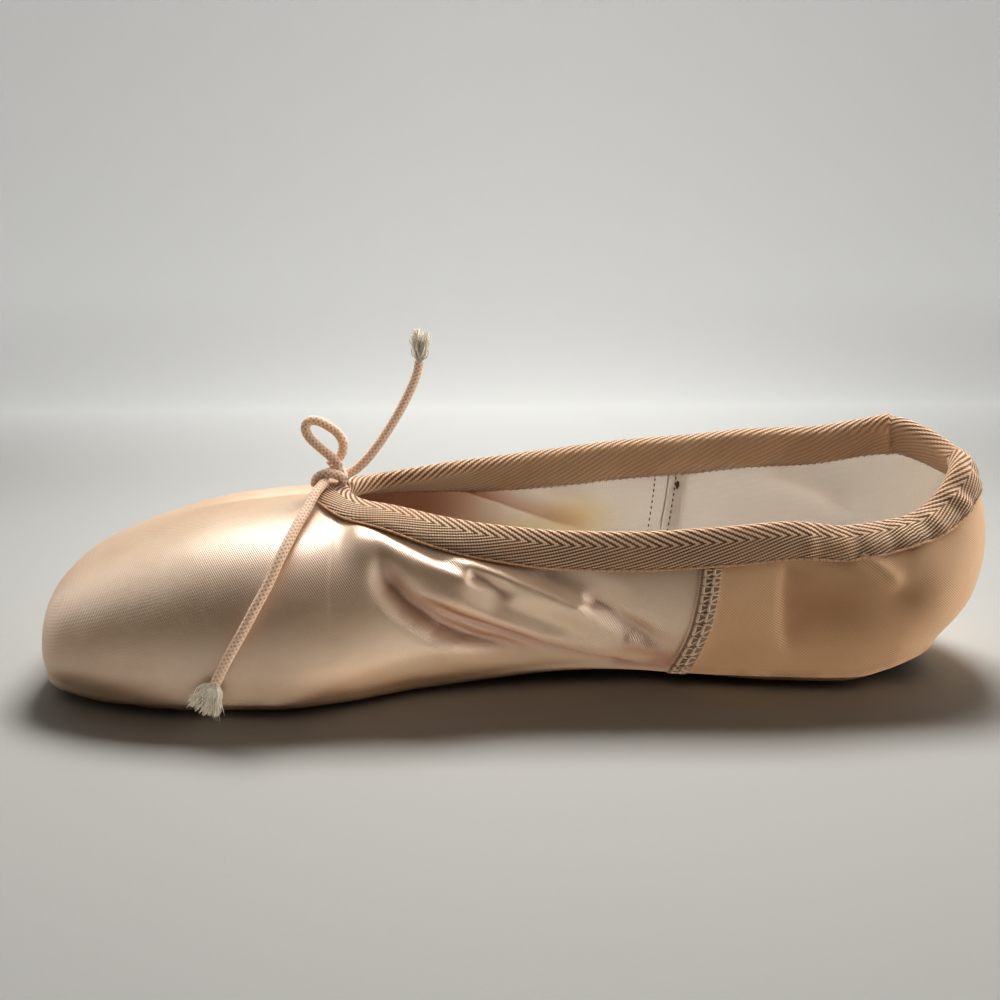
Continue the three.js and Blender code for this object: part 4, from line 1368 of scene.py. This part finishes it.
@dataclass(frozen=True)
class Tuft:
    """A frayed end: fibres that fan out from the cord's cut end, in millimetres."""

    start: Point
    end: Point
    half_width: float
    half_depth: float
    fibres: int = 260

    def build(self, name: str, material: bpy.types.Material) -> bpy.types.Object:
        """Makes the tuft.

        Args:
            name: The piece's name.
            material: The fibres' finish.

        Returns:
            The piece.
        """
        rng = np.random.default_rng(SEED + len(name))
        start, end = np.array(self.start), np.array(self.end)
        axis = unit(end - start)
        wide = unit(np.cross(axis, [0, 1, 0]))
        deep = np.cross(axis, wide)
        length = np.linalg.norm(end - start)
        maker = MeshMaker(name)
        for _ in range(self.fibres):
            root = rng.uniform(-1, 1, 2) * 0.75
            lobe = rng.choice([-0.62, -0.2, 0.28, 0.7]) + rng.normal(0, 0.14)
            spread = np.clip(lobe, -1, 1)
            reach = length * rng.uniform(0.62, 1.0) * (1 - 0.12 * abs(spread))
            curl = rng.normal(0, 0.5, 2)
            t = np.linspace(0, 1, 6)[:, None]
            sideways = root[0] * (1 - t) + spread * self.half_width * t**0.8 + curl[0] * np.sin(t * 5)
            depthwise = root[1] * (1 - t) + rng.uniform(-1, 1) * self.half_depth * t + curl[1] * 0.4 * np.sin(t * 4)
            line = start + axis * reach * t + wide * sideways + deep * depthwise
            sweep(maker, line, np.linspace(0.19, 0.08, 6), 4)
        return maker.build([material])


class Drawstring:
    """The elastic drawstring: its knot, loop, two ends and their frayed tips."""

    diameter = 0.0024

    def __init__(self) -> None:
        """Makes the cord's finishes."""
        self.braid = Cotton("braided_elastic", linear(246, 222, 202), linear(210, 172, 146), 0.75, 0.5).build()
        self.fibre = Cotton("frayed_fibre", linear(255, 249, 235), linear(250, 236, 215), 0.85).build()

    def tube(self, name: str, route: Sequence[Point]) -> bpy.types.Object:
        """Makes a braided tube along a route in metres."""
        maker = MeshMaker(name)
        line = smooth_route([tuple(c / MM for c in p) for p in route], 0.18)
        sweep(maker, line, self.diameter / MM / 2, 28, 0.08)
        return maker.build([self.braid])

    def build(self) -> None:
        knot = MeshMaker("drawstring_knot_wraps")
        for wrap in KNOT_WRAPS:
            sweep(knot, smooth_route(wrap, 0.2), 1.15, 28, 0.1)
        knot_piece = place(knot.build([self.braid]), "elastic", "drawstring_knot")
        front_tuft = Tuft((-69.9, -39.2, 10.8), (-74.4, -38.9, 3.1), 4.6, 1.2).build("front_tuft", self.fibre)
        back_tuft = Tuft((-25.15, 16.0, 76.0), (-24.4, 17.6, 84.6), 3.0, 1.2, 120).build("back_tuft", self.fibre)
        place(front_tuft, "fray", "drawstring_front_fray")
        place(back_tuft, "fray", "drawstring_back_fray")
        runs = (
            ("loop_cord", "drawstring_loop", LOOP_ROUTE, "object", [knot_piece]),
            ("front_cord", "drawstring_front_end", FRONT_ROUTE, "bare", [front_tuft]),
            ("back_cord", "drawstring_back_end", BACK_ROUTE, "bare", [back_tuft]),
        )
        for name, node, route, far_end, pieces in runs:
            cord = place(self.tube(name, route), "elastic", node)
            line = smooth_route(route, 0.0005)
            length = float(np.linalg.norm(np.diff(line, axis=0), axis=1).sum())
            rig.cord(
                cord,
                exit=route[0],
                length=length,
                diameter=self.diameter,
                far_end=far_end,
                stiffness="stiff",
                lay="loose",
                path=[tuple(p) for p in smooth_route(route, length / 30)],
                with_pieces=pieces,
            )
            LOG.info("%s is %.1f mm long", name, length / MM)


class Upper:
    """The satin upper with its heel of twill, its overlocked side seam and its lining."""

    def __init__(self, last: Last) -> None:
        """Works out the upper's grid on the last."""
        self.last = last
        self.relief = Relief(last)
        self.stations = stations(last)
        self.rows = rows(last)

    def faces_of(self, side: Side) -> dict[str, Array]:
        """The outer and inner faces of one side, with their values.

        Args:
            side: The side of the shoe.

        Returns:
            The grids by name.
        """
        at, row = np.meshgrid(self.stations, self.rows, indexing="ij")
        point = self.last.surface(side, at, row)
        normal = self.last.normal(side, at, row)
        height, warmth = self.relief.at(side, at, row, point)
        seam = self.relief.seam(at, row)
        wall = self.last.wall(self.last.toe_x + at * self.last.length)
        outer = point + normal * (height + seam)[..., None]
        inner = point + normal * (np.where(row > self.last.under_rows, height, 0) * 0.9 - wall)[..., None]
        outer, inner = self.last.sprung(outer), self.last.sprung(inner)
        up = np.concatenate([np.zeros((len(at), 1)), np.cumsum(np.linalg.norm(np.diff(point, axis=1), axis=-1), 1)], 1)
        edge = int(np.argmin(np.abs(self.rows - self.last.under_rows - self.last.edge_rows)))
        middle = int(np.argmin(np.abs(self.rows - self.last.over_from - 2)))
        along = np.concatenate([[0], np.cumsum(np.linalg.norm(np.diff(point[:, middle], axis=0), axis=-1))])
        weave = np.stack(np.broadcast_arrays(along[:, None], up - up[:, edge : edge + 1]), axis=-1)
        soil = ease((9 - point[..., 2]) / 8) + 0.8 * ease((self.last.toe_x + 9 - point[..., 0]) / 9)
        stain = Dent((16, 24, 30), (11, 8, 6), 1).share(inner) + 0.6 * Dent((-2, 24, 26), (9, 8, 5), 1).share(inner)
        return {
            "outer": outer,
            "inner": inner,
            "weave": weave,
            "warmth": warmth,
            "soil": np.clip(soil, 0, 1),
            "stain": np.clip(stain, 0, 1),
            # The lining's painted shade: darker along the far side's folds and toward the toe.
            "shade": np.clip((warmth if side is Side.FAR else 0) + 1.0 * ease((6 - point[..., 0]) / 34), 0, 1),
        }

    def kinds(self) -> Array:
        """The outer face's finish between each pair of stations: satin, overlock or twill."""
        x = self.last.toe_x + (self.stations[:-1] + self.stations[1:]) / 2 * self.last.length
        return np.select([x < self.last.seam_x, x < self.last.seam_x + self.last.seam_strip], [0, 1], 2)

    def build(self) -> None:
        """Makes the upper."""
        maker = MeshMaker("satin_upper")
        shape = (len(self.stations), len(self.rows))
        x = self.last.toe_x + self.stations * self.last.length
        throat = int(np.argmax(x > self.last.throat_x - 1e-6))
        foot = int(np.argmax(x > self.last.sole_tip_x + 12 + 1e-6)) - 1
        for side in Side:
            far = side is Side.FAR
            grids = self.faces_of(side)
            values = {key: grids[key] for key in ("soil", "stain")}
            outer = maker.add(grids["outer"], grids["weave"], warmth=grids["warmth"], **values)
            inner = maker.add(grids["inner"], grids["weave"], warmth=grids["shade"], **values)
            maker.grid(outer, shape, far, self.kinds())
            maker.grid(inner, shape, not far, 3)
            n, m = shape
            for start, column, turned in ((throat, m - 1, far), (foot, 0, not far)):
                i = np.arange(start, n - 1)
                a, b = outer + i * m + column, outer + (i + 1) * m + column
                c, d = inner + (i + 1) * m + column, inner + i * m + column
                rim = np.stack([a, b, c, d], -1)
                maker.quads(rim[:, ::-1] if turned else rim, 0)
        finishes = [Satin().build(), Overlock().build(), Twill().build(), Canvas().build()]
        place(maker.build(finishes, weld=0.004), "satin", "upper")


class Binding:
    """The herringbone tape folded over the collar, puckered where its elastic gathers it."""

    thickness = 0.8
    outside = 8.2
    inside = 9.4
    inner_gap = 0.9
    fold_gap = 0.6
    leg_steps = 12

    def __init__(self, last: Last, upper: Upper) -> None:
        """Takes the last and the stations of the upper's collar."""
        self.last = last
        x = last.toe_x + upper.stations * last.length
        self.open = upper.stations[x > last.throat_x - 1e-6]
        self.edges: dict[Side, tuple[Array, Array, Array, Array]] = {}

    def half(self, side: Side) -> tuple[Array, Array, Array]:
        """The collar's line, the direction down the wall and the way out of it, on one side."""
        rim = self.last.surface(side, self.open, self.last.top_row)
        return rim, self.last.normal(side, self.open, self.last.top_row), self.last.wall(rim[:, 0])

    def leg(self, side: Side, rim: Array, away: Array, reach: float) -> tuple[Array, Array]:
        """A leg of the tape down the wall.

        Args:
            side: The side of the shoe.
            rim: The collar's line.
            away: Directions down the wall.
            reach: How far down the leg goes.

        Returns:
            Its points on the last, and the directions out of the wall.
        """
        share = np.linspace(0, 1, self.leg_steps)
        wish = rim[:, None] + away[:, None] * (reach * share)[None, :, None]
        at = np.broadcast_to(self.open[:, None], wish.shape[:2])
        found, row = self.last.nearest(side, at, wish)
        found[:, 0], row[:, 0] = self.open, self.last.top_row
        points, normals = self.last.surface(side, found, row), self.last.normal(side, found, row)
        centred = np.abs(rim[:, 1]) < 1e-9
        points[centred, :, 1] = 0
        normals[centred, :, 1] = 0
        return points, unit(normals)

    def build(self) -> None:
        """Makes the tape."""
        rims = {side: self.half(side) for side in Side}
        near, far = rims[Side.NEAR][0][::-1], rims[Side.FAR][0][1:-1]
        line = np.vstack([near, far])
        along = unit(np.roll(line, -1, axis=0) - np.roll(line, 1, axis=0))
        count = len(near)
        ways = {Side.NEAR: along[:count][::-1], Side.FAR: None}
        ways[Side.FAR] = np.vstack([along[count - 1 : count], along[count:], along[:1]])
        rings = {}
        for side, (rim, normal, thick) in rims.items():
            away = unit(np.cross(normal, ways[side]))
            rings[side] = self.ring(side, rim, normal, thick, away)
        points = np.vstack([rings[Side.NEAR][0][::-1], rings[Side.FAR][0][1:-1]])
        across = np.vstack([rings[Side.NEAR][1][::-1], rings[Side.FAR][1][1:-1]])
        run = np.concatenate([[0], np.cumsum(np.linalg.norm(np.diff(line, axis=0), axis=1))])
        mirrored = np.minimum(np.abs(run - run[count - 1]), 1e9)
        weave = np.stack(np.broadcast_arrays(mirrored[:, None], across), axis=-1)
        maker = MeshMaker("binding_tape")
        closed = np.concatenate([points, points[:, :1]], axis=1)
        weave = np.concatenate([weave, weave[:, :1]], axis=1)
        column = np.arange(closed.shape[1])[None]
        # The inside leg, whose gaps take the paler painted light.
        inner = ease((column - self.leg_steps - 4) / 5) * (column < 2 * self.leg_steps + 12)
        first = maker.add(closed, weave, inside=np.broadcast_to(inner, closed.shape[:2]))
        maker.grid(first, closed.shape[:2], True, wrap=True)
        place(maker.build([Herringbone().build()], weld=0.002), "tape", "binding")

    def ring(self, side: Side, rim: Array, normal: Array, thick: Array, away: Array) -> tuple[Array, Array]:
        """The tape's section at each station of one side.

        Args:
            side: The side of the shoe.
            rim: The collar's line.
            normal: The way out of the wall at the collar.
            thick: The wall's thickness.
            away: Directions down the wall.

        Returns:
            The section's points, and how far across the tape each lies.
        """
        outside, out_normal = self.leg(side, rim, away, self.outside)
        inside, in_normal = self.leg(side, rim, away, self.inside)
        share = np.linspace(0, 1, self.leg_steps)
        crown = 0.55 * np.sin(np.pi * share) ** 0.8 - 0.35 * ease((share - 0.86) / 0.1)
        outer = self.last.fit_gap + self.thickness
        pucker = self.pucker(side, rim)[:, None] * ease(share * 1.4 + 0.3)[None]
        face = outside + out_normal * (outer + crown[None] + pucker)[..., None]
        depth = thick[:, None] + self.inner_gap + self.thickness
        tuck = self.tuck(side, rim)[:, None]
        gather = self.gather(rim, share) + tuck * (1 - 0.5 * share)[None]
        back = inside - in_normal * (depth + 0.35 * np.sin(np.pi * share)[None] + gather)[..., None]
        turns = np.linspace(0, math.pi, 11)[1:-1]
        half = (outer + depth) / 2
        middle = (outer - depth) / 2
        top = rim[:, None] + normal[:, None] * (middle + half * np.cos(turns)[None])[..., None]
        rise = (self.fold_gap + self.thickness + tuck) * (np.sin(turns) ** 0.8)[None]
        top = top - away[:, None] * rise[..., None]
        under_out = (outside + out_normal * self.last.fit_gap)[:, ::4]
        under_in = (inside - in_normal * (thick[:, None] + self.inner_gap)[..., None])[:, ::4]
        self.edges[side] = (face[:, -1], face[:, -2], back[:, -1], back[:, -2])
        points = np.concatenate([face[:, ::-1], top, back, under_in[:, ::-1], under_out], axis=1)
        run = np.concatenate([[0], np.cumsum(np.linalg.norm(np.diff(points[len(points) // 2], axis=0), axis=1))])
        return points, np.broadcast_to(run, points.shape[:2])

    def tuck(self, side: Side, rim: Array) -> Array:
        """The sharp tuck of the far side's tape near the heel: it swells slowly and drops at once."""
        before = 99.5 - rim[:, 0] if side is Side.FAR else np.full(len(rim), -1.0)
        return np.where(before > 0, 1.5 * np.exp(-np.maximum(before, 0) / 4.5), 0.0)

    def gather(self, rim: Array, share: Array) -> Array:
        """The slanting gathers of the tape's inner leg toward the heel."""
        run = np.concatenate([[0], np.cumsum(np.linalg.norm(np.diff(rim, axis=0), axis=1))])
        slanted = run[:, None] + 6 * share[None]
        wave = np.sin(slanted * 2 * math.pi / 13 + 0.9 * np.sin(slanted / 11)) * 0.5 + 0.5
        return 0.7 * ease((rim[:, :1] - 48) / 20) * wave * np.sin(np.pi * np.clip(share * 0.9 + 0.1, 0, 1))[None]

    def pucker(self, side: Side, rim: Array) -> Array:
        """How far the tape stands off the wall in its gathers, along the collar."""
        x = rim[:, 0]
        run = np.concatenate([[0], np.cumsum(np.linalg.norm(np.diff(rim, axis=0), axis=1))])
        heel = ease((x - 60) / 12) * (0.35 if side is Side.NEAR else 0.6)
        wave = np.sin(run * 2 * math.pi / 7.5 + 0.8 * np.sin(run / 9)) + 0.5 * np.sin(run * 2 * math.pi / 4.3)
        return heel * wave


class Sole:
    """The leather sole and the insole, flat sheets cut to the last's outline."""

    def __init__(self, last: Last) -> None:
        """Takes the last that they are cut to."""
        self.last = last

    def sheet(
        self,
        name: str,
        places: Array,
        half: Callable[[Array], Array],
        bottom: Callable[[Array], Array],
        thickness: float,
        bevel: float,
        material: bpy.types.Material,
    ) -> bpy.types.Object:
        """Makes a sheet with rounded edges.

        Args:
            name: The piece's name.
            places: Places along the shoe.
            half: Half its width at a place.
            bottom: Its lower face's height at a place.
            thickness: How thick it is.
            bevel: How far its edges are rounded.
            material: Its finish.

        Returns:
            The piece.
        """
        reach = half(places)[:, None]
        cut = np.minimum(bevel, 0.4 * reach)
        turn = np.linspace(0, QUARTER, 5)
        flat = np.linspace(-1, 1, 25)[None, 1:-1]
        low = np.broadcast_to(bottom(places)[:, None], reach.shape)
        rounds = [
            (reach - cut * (1 - np.sin(turn)), low + cut * (1 - np.cos(turn))),
            (reach - 0.4 * cut * (1 - np.cos(turn)), low + thickness - 0.4 * cut * (1 - np.sin(turn))),
        ]
        right = np.concatenate([rounds[0][0], rounds[1][0]], axis=1), np.concatenate([rounds[0][1], rounds[1][1]], axis=1)
        flat_low = (reach - cut) * flat
        flat_high = (reach - 0.4 * cut) * -flat
        y = np.concatenate([flat_low, right[0], flat_high, -right[0][:, ::-1]], axis=1)
        z = np.concatenate([low + 0 * flat, right[1], low + thickness + 0 * flat, right[1][:, ::-1]], axis=1)
        ring = np.stack([np.broadcast_to(places[:, None], y.shape), y, z], axis=-1)
        ring = self.last.sprung(np.concatenate([ring, ring[:, :1]], axis=1))
        maker = MeshMaker(name)
        first = maker.add(ring, ring[..., :2])
        maker.grid(first, ring.shape[:2], True)
        ends = ring[[0, -1], :-1]
        for end, turned in ((ends[0], False), (ends[1], True)):
            centre = maker.add(end.mean(0)[None], end.mean(0)[None, :2])
            edge = maker.add(end, end[:, :2])
            n = len(end)
            corners = [[centre, edge + j, edge + (j + 1) % n, edge + (j + 1) % n] for j in range(n)]
            maker.quads([c[:1] + c[1:][::-1] if turned else c for c in corners])
        return maker.build([material], weld=0.002)

    def build(self) -> None:
        """Makes both sheets."""
        last = self.last
        t = np.linspace(0, 1, 200)
        spread = mix(t, 0.5 - 0.5 * np.cos(np.pi * t), 0.75)
        end = last.heel_x + last.sole_heel_reach - 0.1
        leather = self.sheet(
            "leather_sole",
            mix(last.sole_tip_x + 0.15, end, spread),
            lambda x: last.sole_half(x, 0),
            last.lift,
            last.sole_thickness,
            0.7,
            SoleLeather().build(),
        )
        place(leather, "sole_leather", "outsole")
        start, heel_reach = last.toe_x + last.box_wall + 7, 13.5

        def half(x: Array) -> Array:
            """Half the insole's width."""
            back = np.maximum(0, x - last.heel_x) / heel_reach
            wide = last.foot_half(np.minimum(x, last.heel_x)) - last.wall(x) - 0.8
            return wide * nose(x - start, 14) * np.sqrt(np.maximum(0, 1 - back**2))

        sock = self.sheet(
            "sock_lining",
            mix(start + 0.1, last.heel_x + heel_reach - 0.1, spread),
            half,
            lambda x: last.sole_thickness + last.fit_gap + last.lift(x) + last.wall(x) + last.fit_gap,
            1.6,
            0.3,
            Canvas(body=linear(222, 206, 180)).build(),
        )
        place(sock, "lining", "insole")


class Stitching:
    """Threads laid on the upper as small tubes, joined into one mesh for each row of stitches."""

    def __init__(self, last: Last, binding: Binding) -> None:
        """Takes the last and the tape that the stitches lie on."""
        self.last = last
        self.binding = binding
        self.relief = Relief(last)
        self.tape_thread = Cotton("tape_thread", linear(232, 190, 152), linear(150, 98, 62), 0.7).build()
        self.dark_thread = Cotton("dark_thread", linear(120, 92, 66), linear(60, 44, 32), 0.8).build()
        self.thread = Cotton("seam_thread", linear(234, 212, 190), linear(170, 140, 116), 0.7).build()

    def spot(self, side: Side, x: float, row: float, height: float) -> Array:
        """A place on the upper's outer face, a height above it."""
        at, where = np.array([self.last.station_of(x)]), np.array([row])
        point = self.last.surface(side, at, where)
        relief = self.relief.at(side, at, where, point)[0] + self.relief.seam(at, where)
        return (point + self.last.normal(side, at, where) * (relief + height)[:, None])[0]

    def lining_spot(self, side: Side, x: float, row: float) -> Array:
        """A place on the lining's face, a little proud of it."""
        at, where = np.array([self.last.station_of(x)]), np.array([row])
        point = self.last.surface(side, at, where)
        deep = 0.9 * self.relief.at(side, at, where, point)[0] - self.last.wall(np.array([x])) - 0.08
        return (point + self.last.normal(side, at, where) * deep[:, None])[0]

    def overlock(self) -> None:
        """The ladder of overlock stitches down each side seam."""
        for side in Side:
            maker = MeshMaker(f"overlock_stitches_{side.word}")
            rng = np.random.default_rng(SEED)
            low, high = self.last.under_rows + self.last.edge_rows * 0.6, self.last.top_row - 1.7
            rows_down = np.linspace(high, low, 15)
            for i, row in enumerate(rows_down[:-1]):
                step = rows_down[i + 1] - row
                narrow = mix(1.0, 0.75, i / 14)
                for column in (0.9, 3.1):
                    left = self.last.seam_x + column * narrow
                    a = self.spot(side, left, row, 0.16)
                    b = self.spot(side, left, row + step * 0.85, 0.16)
                    sweep(maker, np.linspace(a, b, 4), 0.36, 6)
                    reach = 1.9 + rng.uniform(-0.2, 0.5)
                    c = self.spot(side, left + reach, row + step * (0.5 + rng.uniform(-0.15, 0.15)), 0.1)
                    sweep(maker, np.linspace(b, c, 5), np.array([0.3, 0.28, 0.24, 0.2, 0.12]), 6)
                    d = self.spot(side, left + reach * 0.9, row + step * 0.2, 0.1)
                    sweep(maker, np.linspace(a, d, 4), np.array([0.26, 0.24, 0.2, 0.12]), 6)
            place(maker.build([self.thread]), "satin")

    def selvedge(self) -> None:
        """The whipped edge of the tape outside, and the overcast stitches along its edge inside."""
        for side in Side:
            outer, above_outer, inner, above_inner = self.binding.edges[side]
            maker = MeshMaker(f"tape_selvedge_{side.word}")
            low = mix(outer, above_outer, 0.15)
            sweep(maker, smooth_route(low[1::4].tolist(), 0.35), 0.3, 10, 0.25)
            run = np.concatenate([[0], np.cumsum(np.linalg.norm(np.diff(inner, axis=0), axis=1))])
            for start in np.arange(2.0, run[-1] - 3, 1.9):
                a = np.array([np.interp(start, run, inner[:, k]) for k in range(3)])
                b = np.array([np.interp(start + 0.6, run, above_inner[:, k]) for k in range(3)])
                sweep(maker, np.linspace(mix(b, a, 1.5), mix(a, b, 1.1), 4), 0.14, 6)
            place(maker.build([self.tape_thread]), "tape")

    def inner_seam(self) -> None:
        """Two columns of small stitches and a turned edge down the lining at each side seam, and a grime spot."""
        maker = MeshMaker("lining_seam_stitches")
        edge = MeshMaker("lining_seam_edges")
        for side in Side:
            for x in (self.last.seam_x - 4.6, self.last.seam_x + 1.2):
                for row in np.arange(self.last.over_from - 1.5, self.last.top_row - 2.2, 0.36):
                    ends = [self.lining_spot(side, x, step) for step in (row, row + 0.15)]
                    sweep(maker, np.linspace(*ends, 3), 0.17, 6)
            rows_up = np.linspace(self.last.over_from - 2.5, self.last.top_row - 1.6, 24)
            line = [self.lining_spot(side, self.last.seam_x - 0.9, row) for row in rows_up]
            sweep(edge, np.array(line), 0.16, 6)
        mark = [self.lining_spot(Side.FAR, self.last.seam_x + 1.9, row) for row in (13.6, 13.85, 14.1)]
        sweep(maker, np.array(mark), np.array([0.2, 0.6, 0.3]), 8)
        place(maker.build([self.dark_thread]), "lining")
        place(edge.build([self.thread]), "lining")

    def build(self) -> None:
        """Makes all the stitches."""
        self.overlock()
        self.selvedge()
        self.inner_seam()


class Studio:
    """The pale floor with its backdrop, and the soft light above."""

    def floor(self) -> bpy.types.Object:
        """Makes the floor and the sweep behind it."""
        maker = MeshMaker("floor_sweep")
        front, back, bend, high, half = -900.0, 330.0, 60.0, 900.0, 1100.0
        turns = np.linspace(0, QUARTER, 16)
        profile = [(front, 0.0)] + [(back + bend * math.sin(a), bend * (1 - math.cos(a))) for a in turns]
        profile.append((back + bend, high))
        lines = np.array([[(x, y, z) for y, z in profile] for x in (-half, half)])
        first = maker.add(lines)
        maker.grid(first, lines.shape[:2], False)
        thing = maker.build([Paper().build()])
        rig.stage(thing)
        return thing

    def lamp(
        self,
        name: str,
        where: Point,
        aim: Point,
        size: tuple[float, float],
        power: float,
        colour: Colour,
        spread: float = 130.0,
    ) -> bpy.types.Object:
        """Hangs an area light.

        Args:
            name: Its name.
            where: Where it hangs, in metres.
            aim: Where it points.
            size: Its width and depth.
            power: Its power in watts.
            colour: Its colour.
            spread: The angle of its beam, in degrees.

        Returns:
            The light.
        """
        data = bpy.data.lights.new(name, "AREA")
        data.shape = "ELLIPSE" if spread > 150 else "RECTANGLE"
        data.size, data.size_y = size
        data.energy = power
        data.spread = math.radians(spread)
        data.color = colour
        lamp = bpy.data.objects.new(name, data)
        lamp.location = where
        lamp.rotation_euler = (Vector(aim) - Vector(where)).to_track_quat("-Z", "Y").to_euler()
        bpy.context.scene.collection.objects.link(lamp)
        return lamp

    def build(self) -> None:
        """Makes the floor, the lights and the sky."""
        floor = self.floor()
        self.lamp("key", (0.04, 0.31, 0.54), (0.0, 0.02, 0.02), (0.32, 0.18), 1.06, (1.0, 0.985, 0.95), 95.0)
        shoe_only = bpy.data.collections.new("lit_by_key_alone")
        shoe_only.objects.link(floor)
        shoe_only.collection_objects[0].light_linking.link_state = "EXCLUDE"
        for lamp in (
            self.lamp("overhead", (-0.05, -0.17, 0.62), (-0.05, -0.17, 0.0), (1.3, 1.0), 1.18, (1.0, 0.99, 0.97)),
            self.lamp("left_wall", (-0.5, 0.05, 0.22), (-0.08, 0.0, 0.03), (0.5, 0.4), 0.36, (1.0, 1.0, 1.0)),
            self.lamp("right_wall", (0.5, -0.02, 0.14), (0.1, 0.0, 0.03), (0.4, 0.3), 0.85, (1.0, 0.97, 0.92)),
            self.lamp("toe_bounce", (-0.06, -0.059, 0.003), (-0.06, -0.059, 1.0), (0.18, 0.046), 0.0088, (1.0, 0.93, 0.84), 180.0),
            self.lamp("waist_bounce", (0.055, -0.046, 0.003), (0.055, -0.046, 1.0), (0.21, 0.056), 0.0125, (1.0, 0.9, 0.78), 180.0),
        ):
            lamp.light_linking.receiver_collection = shoe_only
            lamp.visible_camera = False
        world = bpy.data.worlds.new("studio_air")
        world.use_nodes = True
        tree = world.node_tree
        sky = tree.nodes["Background"]
        sky.inputs["Color"].default_value = (1.0, 0.86, 0.72, 1.0)
        split = tree.nodes.new("ShaderNodeSeparateXYZ")
        tree.links.new(tree.nodes.new("ShaderNodeTexCoord").outputs["Generated"], split.inputs[0])
        aside = tree.nodes.new("ShaderNodeMath")
        aside.operation = "ABSOLUTE"
        tree.links.new(split.outputs[0], aside.inputs[0])
        walls = tree.nodes.new("ShaderNodeMath")
        walls.operation = "MULTIPLY_ADD"
        tree.links.new(aside.outputs[0], walls.inputs[0])
        walls.inputs[1].default_value = 0.6
        tree.links.new(split.outputs[1], walls.inputs[2])
        depth = tree.nodes.new("ShaderNodeMapRange")
        depth.interpolation_type = "SMOOTHSTEP"
        for socket, value in (("From Min", 0.0), ("From Max", 0.6), ("To Min", 0.01), ("To Max", 0.35)):
            depth.inputs[socket].default_value = value
        tree.links.new(walls.outputs[0], depth.inputs["Value"])
        tree.links.new(depth.outputs[0], sky.inputs["Strength"])
        bpy.context.scene.world = world
        view = bpy.context.scene.view_settings
        view.view_transform = "Standard"
        view.exposure = 0.15
        view.gamma = 0.8


def main() -> None:
    """Builds the scene, the camera and the cords first."""
    logging.basicConfig(level=logging.INFO, format="%(message)s")
    CameraView().build()
    Drawstring().build()
    upper = Upper(LAST)
    upper.build()
    binding = Binding(LAST, upper)
    binding.build()
    Sole(LAST).build()
    Stitching(LAST, binding).build()
    Studio().build()
    boxes = {"cad": [list(corner) for corner in CAD_BOX], "visual": [list(corner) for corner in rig.bounds()]}
    with open("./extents.json", "w", encoding="utf-8") as out:
        json.dump(boxes, out)


if __name__ == "__main__":
    main()
